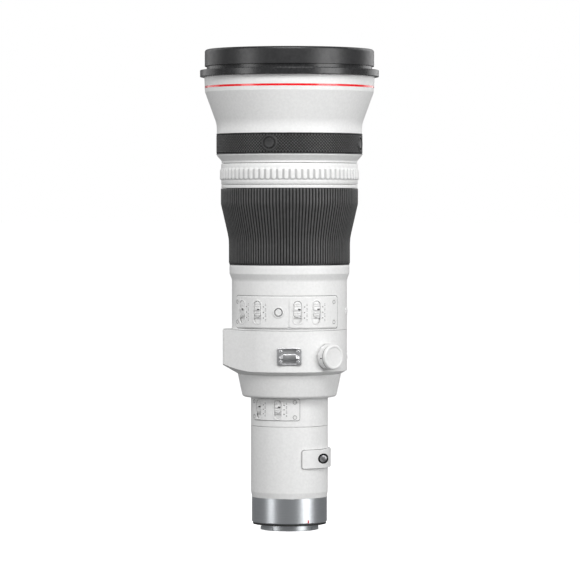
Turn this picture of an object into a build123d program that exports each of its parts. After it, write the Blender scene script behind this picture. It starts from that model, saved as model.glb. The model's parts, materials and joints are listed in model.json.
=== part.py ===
from build123d import *

import os
from math import acos, atan2, cos, radians, sin, sqrt, tan

# A super-telephoto lens that stands on its bayonet. Z is the optical axis and runs up to the front rim.
# The origin is on the axis, level with the lowest edge of the bayonet. Sizes are millimetres.
# Angles round the axis start at the -Y side, where the switches are, and grow towards +X.
# The foot pad of the tripod collar faces -X. The drop-in filter comes out towards +X.

# Lengths of the sections, from the bayonet upwards
bayonet_depth = 5.3
mount_ring_length = 24.8
rear_tube_length = 65.2
switch_housing_length = 26.0
rear_cone_length = 21.0
collar_length = 40.6
main_barrel_length = 58.6
focus_ring_length = 69.6
divider_length = 3.2
preset_ring_length = 19.4
front_band_length = 8.1
grip_length = 18.9
bell_length = 51.6
rim_flange_thickness = 6.3
rim_groove_width = 3.3
hood_seat_length = 15.4

# Fits and gaps
running_fit = 0.08
loose_fit = 0.35
seam = 0.3

# Radii, from the bayonet upwards
rear_r = 35.2
bayonet_inset = 9.6
bayonet_wall = 2.1
lug_rise = 0.9
mount_ring_inset = 0.9
rear_wall = 2.7
barrel_r = 52.5
cone_inset = 5.3
cone_taper = 4.45
cone_wall = 2.6
barrel_wall = 6.0
collar_wall = 3.45
collar_lip = 0.9
collar_lip_height = 2.0
shoulder_rise = 2.2
chassis_inset = 1.5
chassis_wall = 2.0
flare_rise = 6.5
sleeve_wall = 2.5
rubber_wall = 1.7
flare_gap = 0.77
preset_wall = 4.6
preset_rib = 1.2
grip_wall = 1.6
grip_over_flare = 9.1
front_wall = 4.5
bell_rise = 11.35
bell_wall = 2.6
rim_inset = 0.4
hood_groove_depth = 1.8
rim_flange_rise = 4.3
rim_wall = 3.6

# Focus ring profile
focus_step = 14.0
focus_taper = 31.9
focus_foot = focus_ring_length - focus_step - focus_taper

# Tripod collar
collar_cone_angle = 30.0
pad_reach = 8.0
pad_half_width = 20.0
pad_corner = 4.0
pad_bolt_y = 26.0
pad_bolt_z = 18.0
pad_bolt_r = 2.0
pad_bolt_depth = 7.0
pad_bolt_below_top = 16.5

# Strap lugs, at the -Y and +Y sides of the collar
lug_width = 22.6
lug_height = 16.0
lug_corner = 3.0
lug_seat_depth = 1.5
lug_plate = 2.6
lug_floor = 0.6
lug_window_half = 5.6
lug_window_top = 6.6
lug_bar_width = 3.9
lug_bar_length = 16.0
lug_bar_gap = 1.8
lug_bar_thickness = 2.3
lug_drop = 23.1
lug_screw_shaft_r = 0.8
lug_screw_shaft = 4.0
lug_screw_x = 7.9
lug_screw_z = 4.6
lug_screw_r = 1.7
lug_screw_head = 0.6

# Lock knob and brake shoe
knob_angle = 40.0
knob_r = 11.3
knob_height = 10.9
knob_band = 7.2
knob_groove = 0.6
knob_seat_depth = 0.7
knob_drop = 23.7
knob_shaft_r = 3.0
shoe_side = 8.0
shoe_thickness = 1.3
shoe_travel = 0.4

# Sliding switches
upper_slot_length = 20.3
upper_slot_width = 7.6
upper_knob_length = 14.3
lower_slot_length = 17.0
lower_slot_width = 6.7
lower_knob_length = 11.6
switch_side_gap = 0.3
switch_plate = 1.4
switch_plate_margin = 1.1
switch_pocket_depth = 3.0
switch_ridge_rise = 0.7
switch_ridge_width = 1.8
upper_panel_rise = 0.8
lower_panel_rise = 0.6
panel_corner = 2.0
upper_panel_height = 27.4
upper_panel_lift = 2.8
lower_panel_height = 19.4
lower_panel_drop = 0.6
panel_split = -0.4
panel_left_end = -64.5
panel_right_end = 54.4
lower_panel_left_end = -66.0
lower_panel_right_end = 15.0
upper_left_angles = (-53.4, -33.0)
upper_right_angles = (7.9, 27.4)
lower_angles = (-51.0, -17.3)
panel_screw_r = 2.1
panel_screw_head = 0.5
panel_screw_length = 3.0
panel_thread_r = 1.0
upper_screw_angles = (-62.1, 48.9)
upper_screw_spacing = 18.1
lower_screw_angles = (-63.0, 7.9)
lower_screw_spacing = 13.8

# Push buttons
set_angle = -10.7
set_button_r = 3.0
set_moat_r = 4.0
set_ridge_r = 4.9
stop_first_angle = -15.6
stop_count = 4
stop_button_r = 4.35
stop_moat_r = 5.75
stop_ridge_r = 7.4
button_flange = 0.8
button_guide = 0.15
button_ridge = 0.5

# Drop-in filter holder
filter_low = 27.0
filter_height = 17.5
filter_half_angle = 71.6
cap_rise = 2.0
cap_wall = 4.2
holder_gap = 0.4
holder_side_clearance = 4.0
filter_inset = 6.5
filter_thickness = 2.0
filter_ring_wall = 2.0
filter_button_inset = 4.6
filter_button_r = 3.2
filter_recess_r = 4.7
filter_button_depth = 9.6
filter_button_travel = 1.5
filter_button_sink = 1.4
filter_stem_r = 1.5
filter_stem_length = 4.0
filter_corner = 2.2

# Mount end
seal_height = 1.7
flange_plate = 3.0
flange_seat_inset = 1.5
bayonet_lug_angles = (-60.0, 75.0, 187.5)
bayonet_lug_half_angle = 23.0
bayonet_lug_thickness = 2.9
mount_screw_count = 4
mount_screw_r = 1.5
contact_count = 12
contact_inset = 2.9
contact_pitch = 5.6
contact_half_angle = 36.0
contact_r = 0.7
contact_face = 1.2
contact_bore = 2.5

# Optics
front_element_sag = 7.4
front_element_edge = 6.0
front_shelf = 3.0
shelf_overhang = 2.4
retainer_height = 3.4
glass_gap = 0.05
doublet_r = 55.0
doublet_edge = 9.0
doublet_sag = 4.0
focus_lens_r = 31.0
focus_cell_r = 37.5
focus_cell_length = 16.0
focus_travel = 14.0
rod_circle_r = 41.5
rod_r = 1.6
iris_bore_r = 27.0
iris_height = 9.0
stabiliser_lens_r = 22.0
stabiliser_plate = 4.0
rear_lens_inset = 15.0
board_thickness = 1.6

# Stacked heights
z_flange = bayonet_depth
z_rear_tube = z_flange + mount_ring_length
z_housing = z_rear_tube + rear_tube_length
z_cone = z_housing + switch_housing_length
z_collar = z_cone + rear_cone_length
z_barrel = z_collar + collar_length
z_focus = z_barrel + main_barrel_length
z_divider = z_focus + focus_ring_length
z_preset = z_divider + divider_length
z_band = z_preset + preset_ring_length
z_grip = z_band + front_band_length
z_bell = z_grip + grip_length
z_rim = z_bell + bell_length
z_groove = z_rim + rim_flange_thickness
z_hood_seat = z_groove + rim_groove_width
z_top = z_hood_seat + hood_seat_length

# Radii that follow from the ones above
bayonet_r = rear_r - bayonet_inset
cone_high_r = barrel_r - cone_inset
cone_low_r = cone_high_r - cone_taper
mount_r = rear_r - mount_ring_inset
flange_seat_r = mount_r - flange_seat_inset
rear_bore = rear_r - rear_wall
filter_r = rear_bore - filter_inset
filter_button_x = rear_r - filter_button_inset
rear_lens_r = rear_bore - rear_lens_inset
collar_bore = barrel_r - collar_wall
bearing_r = collar_bore - running_fit
neck_r = cone_high_r - collar_lip
neck_bore = neck_r - cone_wall
barrel_bore = barrel_r - barrel_wall
chassis_r = barrel_r - chassis_inset
chassis_bore = chassis_r - chassis_wall
flare_r = chassis_r + flare_rise
focus_low_r = chassis_r + running_fit + sleeve_wall + rubber_wall
focus_high_r = flare_r + running_fit + sleeve_wall + rubber_wall + flare_gap
divider_r = focus_high_r - 0.5
preset_r = flare_r + running_fit + preset_wall
grip_r = flare_r + grip_over_flare
grip_seat_r = grip_r - grip_wall
front_bore = grip_seat_r - front_wall
bell_low_r = grip_r - 0.4
bell_high_r = bell_low_r + bell_rise
rim_r = bell_high_r - rim_inset
rim_bore = rim_r - rim_wall
rim_flange_r = rim_r + rim_flange_rise


def turned(*outline):
    """Turn a closed outline of (radius, height) or (radius, height, corner radius) points about Z."""
    points = [point[:2] for point in outline]
    corner_radii = [point[2] if len(point) > 2 else 0 for point in outline]
    with BuildPart() as ring:
        with BuildSketch(Plane.XZ):
            with BuildLine():
                FilletPolyline(*points, radius=corner_radii, close=True)
            make_face()
        revolve(axis=Axis.Z)
    return ring


def outward(angle):
    """Unit vector that points away from the axis at this angle."""
    return Vector(sin(radians(angle)), -cos(radians(angle)), 0)


def side_plane(angle, height, radius):
    """Plane that faces outward at this angle, with its x to the right and its y up."""
    right = Vector(cos(radians(angle)), sin(radians(angle)), 0)
    origin = outward(angle) * radius + Vector(0, 0, height)
    return Plane(origin=origin, x_dir=right, z_dir=outward(angle))


def sector(inner_r, outer_r, low, high, start, end, corner=0.0):
    """Curved plate between two angles, with its four corners rounded."""
    section_plane = Plane(origin=(0, 0, 0), x_dir=outward(start), z_dir=outward(start + 90) * -1)
    with BuildPart() as plate:
        with BuildSketch(section_plane):
            with Locations(((inner_r + outer_r) / 2, (low + high) / 2)):
                Rectangle(outer_r - inner_r, high - low)
        revolve(axis=Axis.Z, revolution_arc=end - start)
        if corner > 0:
            radial = plate.edges().filter_by(GeomType.LINE).filter_by(Axis.Z, reverse=True)
            fillet(radial, corner)
    return plate


def lens(radius, edge_low, edge, front_sag, rear_sag=0.0):
    """Glass element on the axis: a rim of this edge thickness between two shallow domes."""
    edge_high = edge_low + edge
    with BuildPart() as glass:
        with BuildSketch(Plane.XZ):
            with BuildLine():
                Line((0, edge_low - rear_sag), (0, edge_high + front_sag))
                SagittaArc((0, edge_high + front_sag), (radius, edge_high), dome_bulge(radius, front_sag))
                Line((radius, edge_high), (radius, edge_low))
                if rear_sag > 0:
                    SagittaArc((radius, edge_low), (0, edge_low - rear_sag), dome_bulge(radius, rear_sag))
                else:
                    Line((radius, edge_low), (0, edge_low))
            make_face()
        revolve(axis=Axis.Z)
    return glass


def dome_bulge(radius, sag):
    """Bulge of half a dome's arc over its chord, for a dome of this radius and height."""
    sphere_r = (radius**2 + sag**2) / (2 * sag)
    chord = sqrt(radius**2 + sag**2)
    return sphere_r - sqrt(sphere_r**2 - chord**2 / 4)


# Front rim: hood seat, hood groove and flange outside, a shelf for the front element inside
shelf_z = z_rim + front_shelf
rim_skirt = 8.0
rim_skirt_r = bell_high_r - bell_wall
front_rim = turned(
    (rim_skirt_r - 1.8, z_rim - rim_skirt),
    (rim_skirt_r, z_rim - rim_skirt),
    (rim_skirt_r, z_rim),
    (rim_flange_r, z_rim, 0.6),
    (rim_flange_r, z_groove, 0.6),
    (rim_r - hood_groove_depth, z_groove),
    (rim_r - hood_groove_depth, z_hood_seat),
    (rim_r, z_hood_seat, 0.3),
    (rim_r, z_top, 2.4),
    (rim_bore, z_top, 0.8),
    (rim_bore, shelf_z),
    (rim_bore - shelf_overhang, shelf_z),
    (rim_bore - shelf_overhang, z_rim - 1.0),
)

# Front barrel: band below the grip, seat of the grip and the flared bell
accent_below_rim = 8.3
accent_height = 1.9
accent_depth = 0.8
bell_corner_z = z_rim - 13.7
bell_blend_z = z_bell + 8.7
preset_pocket_z = z_band + seam
outer_band_r = preset_r - 0.4
bell_shell = turned(
    (flare_r, preset_pocket_z),
    (outer_band_r, preset_pocket_z),
    (outer_band_r, z_band + 2.2, 1.0),
    (bell_low_r, z_grip - 0.8, 0.8),
    (bell_low_r, z_grip),
    (grip_seat_r, z_grip),
    (grip_seat_r, z_bell),
    (bell_low_r, z_bell),
    (bell_low_r, bell_blend_z, 22.0),
    (bell_high_r - 0.7, bell_corner_z, 0.6),
    (bell_high_r - 0.4, z_rim - accent_below_rim - accent_height),
    (bell_high_r - accent_depth - 0.4, z_rim - accent_below_rim - accent_height),
    (bell_high_r - accent_depth - 0.4, z_rim - accent_below_rim),
    (bell_high_r - 0.4, z_rim - accent_below_rim),
    (bell_high_r, z_rim),
    (rim_skirt_r, z_rim),
    (rim_skirt_r, bell_corner_z - 2.0),
    (front_bore, bell_blend_z),
    (front_bore, z_grip + 1.0),
    (flare_r, z_grip - 3.0),
)

accent_ring = turned(
    (bell_high_r - accent_depth - 0.4, z_rim - accent_below_rim - accent_height),
    (bell_high_r - 0.4, z_rim - accent_below_rim - accent_height),
    (bell_high_r - 0.4, z_rim - accent_below_rim),
    (bell_high_r - accent_depth - 0.4, z_rim - accent_below_rim),
)

# Front grip with a raised ring round each focus-stop button
stop_z = (z_grip + z_bell) / 2
stop_angles = [stop_first_angle + 360 / stop_count * turn for turn in range(stop_count)]
stop_flange_r = stop_button_r + 1.1
stop_pocket_r = stop_flange_r + button_guide
stop_pocket_floor = grip_seat_r - 2.8
stop_flange_top = grip_seat_r - 0.6
stop_moat_floor = grip_seat_r + 0.5
grip_tube = turned((grip_seat_r, z_grip), (grip_r, z_grip), (grip_r, z_bell), (grip_seat_r, z_bell))
with BuildPart() as front_grip:
    add(grip_tube.part)
    for angle in stop_angles:
        with BuildSketch(side_plane(angle, stop_z, grip_r - 0.8)):
            Circle(stop_ridge_r)
        extrude(amount=0.8 + button_ridge)
    for angle in stop_angles:
        with BuildSketch(side_plane(angle, stop_z, stop_moat_floor)):
            Circle(stop_moat_r)
        extrude(amount=grip_wall + 3, mode=Mode.SUBTRACT)
        with BuildSketch(side_plane(angle, stop_z, grip_seat_r - 1)):
            Circle(stop_button_r + button_guide)
        extrude(amount=grip_wall + 3, mode=Mode.SUBTRACT)

with BuildPart() as front_barrel:
    add(bell_shell.part)
    for angle in stop_angles:
        with BuildSketch(side_plane(angle, stop_z, stop_pocket_floor)):
            Circle(stop_pocket_r)
        extrude(amount=grip_r - stop_pocket_floor, mode=Mode.SUBTRACT)

stop_buttons = []
for angle in stop_angles:
    with BuildPart() as stop_button:
        with BuildSketch(side_plane(angle, stop_z, stop_flange_top - button_flange)):
            Circle(stop_flange_r)
        extrude(amount=button_flange)
        with BuildSketch(side_plane(angle, stop_z, stop_flange_top)):
            Circle(stop_button_r)
        extrude(amount=grip_r + button_ridge - stop_flange_top)
    stop_buttons.append(stop_button)

# Chassis tube that carries the two turning rings, flared towards the front, with a flange for the rods
focus_cell_low = z_focus - 28.0
rod_low = focus_cell_low - focus_travel - 4.0
rod_top = focus_cell_low + focus_cell_length + focus_travel + 4.0
flare_low_z = z_focus + focus_foot
flare_high_z = z_divider - 8.0
chassis_foot_z = z_focus - 14.0
chassis_top_z = z_grip - 3.4
chassis_tube = turned(
    (chassis_bore, chassis_foot_z),
    (chassis_r, chassis_foot_z),
    (chassis_r, flare_low_z),
    (flare_r, flare_high_z),
    (flare_r, chassis_top_z),
    (flare_r - chassis_wall, chassis_top_z),
    (flare_r - chassis_wall, flare_high_z + 1.0),
    (chassis_bore, flare_low_z + 1.0),
    (chassis_bore, rod_top + 3.0),
    (focus_cell_r + 1.5, rod_top + 3.0),
    (focus_cell_r + 1.5, rod_top),
    (chassis_bore, rod_top),
)

# Ring that parts the focus ring from the preset ring
ring_divider = turned(
    (flare_r, z_divider + seam / 2),
    (divider_r, z_divider + seam / 2, 0.4),
    (divider_r, z_preset - seam / 2, 0.4),
    (flare_r, z_preset - seam / 2),
)

preset_low = z_preset + seam / 2
preset_high = z_band - seam / 2
preset_ring = turned(
    (flare_r + running_fit, preset_low),
    (preset_r, preset_low, 0.4),
    (preset_r, preset_low + 3.6),
    (preset_r + preset_rib, preset_low + 4.8, 0.5),
    (preset_r + preset_rib, preset_high - 4.6, 0.5),
    (preset_r, preset_high - 2.6),
    (preset_r, preset_high, 0.4),
    (flare_r + running_fit, preset_high),
)

# Focus ring: a light metal sleeve on two bearing bands, with a ribbed rubber cover
focus_low = z_focus + seam
focus_high = z_divider - seam / 2
sleeve_low_r = focus_low_r - rubber_wall
sleeve_high_r = focus_high_r - rubber_wall
bearing_band = 6.0
relief = 0.5
cone_low_z = z_focus + focus_foot
cone_high_z = cone_low_z + focus_taper
focus_sleeve = turned(
    (chassis_r + running_fit, focus_low),
    (focus_low_r - 0.4, focus_low),
    (focus_low_r - 0.4, focus_low + 1.4),
    (sleeve_low_r, focus_low + 1.4),
    (sleeve_low_r, cone_low_z),
    (sleeve_high_r, cone_high_z),
    (sleeve_high_r, focus_high),
    (flare_r + running_fit, focus_high),
    (flare_r + running_fit, focus_high - bearing_band),
    (flare_r + relief, focus_high - bearing_band),
    (flare_r + relief, flare_high_z - 1.0),
    (chassis_r + relief, flare_low_z - 1.0),
    (chassis_r + relief, focus_low + bearing_band),
    (chassis_r + running_fit, focus_low + bearing_band),
)
focus_rubber = turned(
    (sleeve_low_r, focus_low + 1.4),
    (focus_low_r, focus_low + 1.4, 0.3),
    (focus_low_r, cone_low_z, 45.0),
    (focus_high_r, cone_high_z, 4.0),
    (focus_high_r, focus_high, 0.3),
    (sleeve_high_r, focus_high),
    (sleeve_high_r, cone_high_z),
    (sleeve_low_r, cone_low_z),
)

# Main barrel: shoulder, switch band, bearing under the collar and a neck for its lip
shoulder_r = barrel_r + shoulder_rise
neck_z = z_collar + collar_lip_height + 0.3
main_tube = turned(
    (neck_bore, z_collar),
    (neck_r - running_fit, z_collar),
    (neck_r - running_fit, neck_z),
    (bearing_r, neck_z),
    (bearing_r, z_barrel),
    (barrel_r, z_barrel),
    (barrel_r, z_focus - 13.6, 6.0),
    (shoulder_r, z_focus - 7.8, 0.4),
    (shoulder_r, z_focus - 1.4),
    (shoulder_r - 0.3, z_focus),
    (chassis_r, z_focus),
    (chassis_r, chassis_foot_z),
    (barrel_bore, chassis_foot_z),
    (barrel_bore, z_barrel + 2.0),
    (neck_bore, z_barrel - 1.0),
)

panel_low = z_barrel + upper_panel_lift
panel_high = panel_low + upper_panel_height
panel_mid = (panel_low + panel_high) / 2
upper_travel = upper_slot_length - upper_knob_length - 2 * switch_side_gap
upper_angles = upper_left_angles + upper_right_angles
upper_pocket_length = upper_knob_length + upper_travel + 3 * switch_plate_margin
upper_pocket_width = upper_slot_width + 2 * switch_plate_margin + 0.4
set_flange_r = set_button_r + 0.9
screw_bore_r = panel_thread_r + 0.05
screw_head_bore_r = panel_screw_r + 0.05
with BuildPart() as main_barrel:
    add(main_tube.part)
    for angle in upper_angles:
        with BuildSketch(side_plane(angle, panel_mid, barrel_r - switch_pocket_depth)):
            RectangleRounded(upper_pocket_width, upper_pocket_length, 1.0)
        extrude(amount=switch_pocket_depth + 1, mode=Mode.SUBTRACT)
    with BuildSketch(side_plane(set_angle, panel_mid, barrel_r - switch_pocket_depth)):
        Circle(set_flange_r + button_guide)
    extrude(amount=switch_pocket_depth + 1, mode=Mode.SUBTRACT)
    for angle in upper_screw_angles:
        with BuildSketch(side_plane(angle, panel_mid, barrel_r - panel_screw_length)):
            with GridLocations(1, upper_screw_spacing, 1, 2):
                Circle(screw_bore_r)
        extrude(amount=panel_screw_length + 1, mode=Mode.SUBTRACT)

upper_panel_r = barrel_r + upper_panel_rise
left_plate = sector(
    barrel_r, upper_panel_r, panel_low, panel_high, panel_left_end, panel_split - 0.15, panel_corner
)
right_plate = sector(
    barrel_r, upper_panel_r, panel_low, panel_high, panel_split + 0.15, panel_right_end, panel_corner
)
with BuildPart() as switch_panel_left:
    add(left_plate.part)
    with BuildSketch(side_plane(set_angle, panel_mid, barrel_r + 0.2)):
        Circle(set_ridge_r)
    extrude(amount=upper_panel_rise + 0.2)
    for angle in upper_left_angles:
        with BuildSketch(side_plane(angle, panel_mid, barrel_r - 3)):
            SlotOverall(upper_slot_length, upper_slot_width, rotation=90)
        extrude(amount=8, mode=Mode.SUBTRACT)
    with BuildSketch(side_plane(set_angle, panel_mid, upper_panel_r - 0.3)):
        Circle(set_moat_r)
    extrude(amount=5, mode=Mode.SUBTRACT)
    with BuildSketch(side_plane(set_angle, panel_mid, barrel_r - 3)):
        Circle(set_button_r + button_guide)
    extrude(amount=8, mode=Mode.SUBTRACT)
    with BuildSketch(side_plane(upper_screw_angles[0], panel_mid, barrel_r - 3)):
        with GridLocations(1, upper_screw_spacing, 1, 2):
            Circle(screw_head_bore_r)
    extrude(amount=8, mode=Mode.SUBTRACT)
with BuildPart() as switch_panel_right:
    add(right_plate.part)
    for angle in upper_right_angles:
        with BuildSketch(side_plane(angle, panel_mid, barrel_r - 3)):
            SlotOverall(upper_slot_length, upper_slot_width, rotation=90)
        extrude(amount=8, mode=Mode.SUBTRACT)
    with BuildSketch(side_plane(upper_screw_angles[1], panel_mid, barrel_r - 3)):
        with GridLocations(1, upper_screw_spacing, 1, 2):
            Circle(screw_head_bore_r)
    extrude(amount=8, mode=Mode.SUBTRACT)

with BuildPart() as set_button:
    with BuildSketch(side_plane(set_angle, panel_mid, barrel_r - 1.9)):
        Circle(set_flange_r)
    extrude(amount=button_flange)
    with BuildSketch(side_plane(set_angle, panel_mid, barrel_r - 1.9 + button_flange)):
        Circle(set_button_r)
    extrude(amount=upper_panel_rise + 0.3 + 1.9 - button_flange)


def switch_knob(angle, mid, base_r, rise, slot_length, slot_width, knob_length):
    """Slider at the front end of its slot: a plate under the panel and a ridged knob through the slot."""
    centre = mid + (slot_length - knob_length) / 2 - switch_side_gap
    width = slot_width - 2 * switch_side_gap
    plate_top = base_r - 0.6
    with BuildPart() as slider:
        with BuildSketch(side_plane(angle, centre, plate_top - switch_plate)):
            RectangleRounded(width + 2 * switch_plate_margin, knob_length + 2 * switch_plate_margin, 1.0)
        extrude(amount=switch_plate)
        with BuildSketch(side_plane(angle, centre, plate_top)):
            SlotOverall(knob_length, width, rotation=90)
        extrude(amount=base_r + rise - 0.1 - plate_top)
        with BuildSketch(side_plane(angle, centre, base_r + rise - 0.1)):
            Rectangle(width - 1.0, switch_ridge_width)
        extrude(amount=switch_ridge_rise)
    return slider


upper_knobs = [
    switch_knob(
        angle, panel_mid, barrel_r, upper_panel_rise, upper_slot_length, upper_slot_width, upper_knob_length
    )
    for angle in upper_angles
]


def panel_screw(angle, height, face_r):
    """Countersunk screw with a cross slot, flush with the panel."""
    with BuildPart() as screw:
        with BuildSketch(side_plane(angle, height, face_r - panel_screw_head)):
            Circle(panel_screw_r)
        extrude(amount=panel_screw_head)
        with BuildSketch(side_plane(angle, height, face_r - panel_screw_length)):
            Circle(panel_thread_r)
        extrude(amount=panel_screw_length)
        with BuildSketch(side_plane(angle, height, face_r - 0.25)):
            Rectangle(2.2, 0.5)
            Rectangle(0.5, 2.2)
        extrude(amount=1, mode=Mode.SUBTRACT)
    return screw


# Rear cone under the collar, and the rear tube in two lengths with a seam between them
rear_cone = turned(
    (rear_bore, z_cone),
    (cone_low_r, z_cone, 3.0),
    (cone_high_r, z_collar, 0.3),
    (neck_bore, z_collar),
    (cone_low_r - cone_wall - 1.5, z_cone + 3.0),
    (rear_bore, z_cone + 3.0),
)

housing_low = z_housing + seam / 2
housing_tube = turned(
    (rear_bore, housing_low), (rear_r, housing_low), (rear_r, z_cone), (rear_bore, z_cone)
)
lower_high = z_cone - lower_panel_drop
lower_low = lower_high - lower_panel_height
lower_mid = (lower_low + lower_high) / 2
lower_travel = lower_slot_length - lower_knob_length - 2 * switch_side_gap
lower_pocket_length = lower_knob_length + lower_travel + 2 * switch_plate_margin + 0.8
lower_pocket_width = lower_slot_width + 2 * switch_plate_margin + 0.4
lower_panel_r = rear_r + lower_panel_rise
with BuildPart() as switch_housing:
    add(housing_tube.part)
    for angle in lower_angles:
        with BuildSketch(side_plane(angle, lower_mid, rear_r - rear_wall - 1)):
            RectangleRounded(lower_pocket_width, lower_pocket_length, 1.0)
        extrude(amount=rear_wall + 3, mode=Mode.SUBTRACT)
    for angle in lower_screw_angles:
        with BuildSketch(side_plane(angle, lower_mid, rear_r - panel_screw_length)):
            with GridLocations(1, lower_screw_spacing, 1, 2):
                Circle(screw_bore_r)
        extrude(amount=panel_screw_length + 1, mode=Mode.SUBTRACT)

lower_plate = sector(
    rear_r, lower_panel_r, lower_low, lower_high, lower_panel_left_end, lower_panel_right_end, panel_corner
)
with BuildPart() as switch_panel_lower:
    add(lower_plate.part)
    for angle in lower_angles:
        with BuildSketch(side_plane(angle, lower_mid, rear_r - 3)):
            SlotOverall(lower_slot_length, lower_slot_width, rotation=90)
        extrude(amount=8, mode=Mode.SUBTRACT)
    for angle in lower_screw_angles:
        with BuildSketch(side_plane(angle, lower_mid, rear_r - 3)):
            with GridLocations(1, lower_screw_spacing, 1, 2):
                Circle(screw_head_bore_r)
        extrude(amount=8, mode=Mode.SUBTRACT)

lower_knobs = [
    switch_knob(
        angle, lower_mid, rear_r, lower_panel_rise, lower_slot_length, lower_slot_width, lower_knob_length
    )
    for angle in lower_angles
]

screws = [
    panel_screw(angle, panel_mid + side * upper_screw_spacing / 2, upper_panel_r)
    for angle in upper_screw_angles
    for side in (-1, 1)
]
screws += [
    panel_screw(angle, lower_mid + side * lower_screw_spacing / 2, lower_panel_r)
    for angle in lower_screw_angles
    for side in (-1, 1)
]
with BuildPart() as panel_screws:
    for screw in screws:
        add(screw.part)

# Rear tube with the straight slot that the filter holder slides in
filter_z = z_rear_tube + filter_low
filter_top = filter_z + filter_height
filter_mid = (filter_z + filter_top) / 2
slot_half_width = rear_r * sin(radians(filter_half_angle))
slot_x = rear_r * cos(radians(filter_half_angle))
rail = 1.6
rail_bore = filter_r - 0.5
rear_tube_turned = turned(
    (rear_bore, z_rear_tube),
    (mount_r, z_rear_tube),
    (rear_r, z_rear_tube + 5.0, 0.8),
    (rear_r, z_housing - seam / 2),
    (rear_bore, z_housing - seam / 2),
    (rear_bore, filter_top + rail),
    (rail_bore, filter_top + rail),
    (rail_bore, filter_top),
    (rear_bore, filter_top),
    (rear_bore, filter_z),
    (rail_bore, filter_z),
    (rail_bore, filter_z - rail),
    (rear_bore, filter_z - rail),
)
slot_reach = 2 * rear_r
with BuildPart() as rear_tube:
    add(rear_tube_turned.part)
    with BuildSketch(Plane.XZ):
        with Locations((slot_x + slot_reach / 2, filter_mid)):
            RectangleRounded(slot_reach, filter_height, filter_corner)
    extrude(amount=slot_half_width, both=True, mode=Mode.SUBTRACT)

# Filter holder: a cap that closes the slot and laps over the tube, and a frame with the filter's seat
cap_low = filter_z + holder_gap
cap_height = filter_height - 2 * holder_gap
cap_r = rear_r + 0.7
cap_side = slot_half_width - holder_gap
block_x = filter_r - 1.5
cap_button_y = sqrt(cap_r**2 - (filter_button_x - cap_rise) ** 2)
recess_floor = cap_button_y - filter_button_depth
button_low = recess_floor + filter_button_travel + 0.3
button_high = cap_button_y - filter_button_sink
stem_bore = filter_stem_length + filter_button_travel
holder_half_width = rear_bore - holder_side_clearance
with BuildPart() as filter_cap:
    with BuildSketch(Plane.XY.offset(cap_low)):
        with Locations((cap_rise, 0)):
            Circle(cap_r)
        Circle(rear_r - cap_wall, mode=Mode.SUBTRACT)
        with BuildSketch(mode=Mode.SUBTRACT):
            Circle(rear_r + holder_gap)
            Rectangle(4 * rear_r, 2 * cap_side, mode=Mode.SUBTRACT)
    extrude(amount=cap_height)
    with BuildSketch(Plane.XZ):
        with Locations((slot_x + holder_gap + slot_reach / 2, filter_mid)):
            RectangleRounded(slot_reach, cap_height, filter_corner - holder_gap)
    extrude(amount=2 * rear_r, both=True, mode=Mode.INTERSECT)
with BuildPart() as filter_holder:
    add(filter_cap.part)
    with BuildSketch(Plane.XY.offset(cap_low)):
        with Locations((cap_rise, 0)):
            Circle(cap_r - 1)
        with Locations((block_x + 2 * rear_r, 0)):
            Rectangle(4 * rear_r, 2 * cap_button_y + 10, mode=Mode.INTERSECT)
    extrude(amount=cap_height)
    with BuildSketch(Plane.XY.offset(cap_low)):
        Circle(rear_bore - 1.0)
        Rectangle(4 * rear_r, 2 * holder_half_width, mode=Mode.INTERSECT)
    extrude(amount=cap_height)
    with BuildSketch(Plane.XY.offset(cap_low)):
        Circle(filter_r - filter_ring_wall)
    extrude(amount=cap_height, mode=Mode.SUBTRACT)
    with BuildSketch(Plane.XY.offset(filter_mid)):
        Circle(filter_r)
    extrude(amount=cap_height, mode=Mode.SUBTRACT)
    for side in (-1, 1):
        with BuildSketch(Plane.XZ.offset(-side * recess_floor)):
            with Locations((filter_button_x, filter_mid)):
                Circle(filter_recess_r)
        extrude(amount=-side * 30, mode=Mode.SUBTRACT)
        with BuildSketch(Plane.XZ.offset(-side * recess_floor)):
            with Locations((filter_button_x, filter_mid)):
                Circle(filter_stem_r + running_fit)
        extrude(amount=side * stem_bore, mode=Mode.SUBTRACT)

filter_glass = turned(
    (0, filter_mid),
    (filter_r - glass_gap, filter_mid),
    (filter_r - glass_gap, filter_mid + filter_thickness),
    (0, filter_mid + filter_thickness),
)

filter_buttons = []
for side in (-1, 1):
    with BuildPart() as filter_button:
        with BuildSketch(Plane.XZ.offset(-side * button_low)):
            with Locations((filter_button_x, filter_mid)):
                Circle(filter_button_r)
        extrude(amount=-side * (button_high - button_low))
        with BuildSketch(Plane.XZ.offset(-side * button_low)):
            with Locations((filter_button_x, filter_mid)):
                Circle(filter_stem_r)
        extrude(amount=side * filter_stem_length)
    filter_buttons.append(filter_button)

# Mount ring, seal and bayonet
mount_ring = turned(
    (rear_bore - 1.4, z_flange + flange_plate),
    (flange_seat_r + 0.2, z_flange + flange_plate),
    (flange_seat_r + 0.2, z_flange + seal_height),
    (mount_r - 0.8, z_flange + seal_height),
    (mount_r, z_flange + seal_height + 0.8),
    (mount_r, z_rear_tube),
    (rear_bore - 1.4, z_rear_tube),
)
mount_seal = turned(
    (flange_seat_r + loose_fit, z_flange + 0.05),
    (flange_seat_r + loose_fit + 0.4, z_flange + 0.05),
    (mount_r - 0.9, z_flange + 0.8),
    (mount_r - 0.9, z_flange + seal_height),
    (flange_seat_r + loose_fit, z_flange + seal_height),
)
bayonet_bore = bayonet_r - bayonet_wall
screw_ring_r = (bayonet_r + flange_seat_r) / 2 + 0.4
bayonet_tube = turned(
    (bayonet_bore, 0),
    (bayonet_r, 0, 0.4),
    (bayonet_r, z_flange),
    (flange_seat_r, z_flange),
    (flange_seat_r, z_flange + flange_plate),
    (bayonet_bore, z_flange + flange_plate),
)
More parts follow.
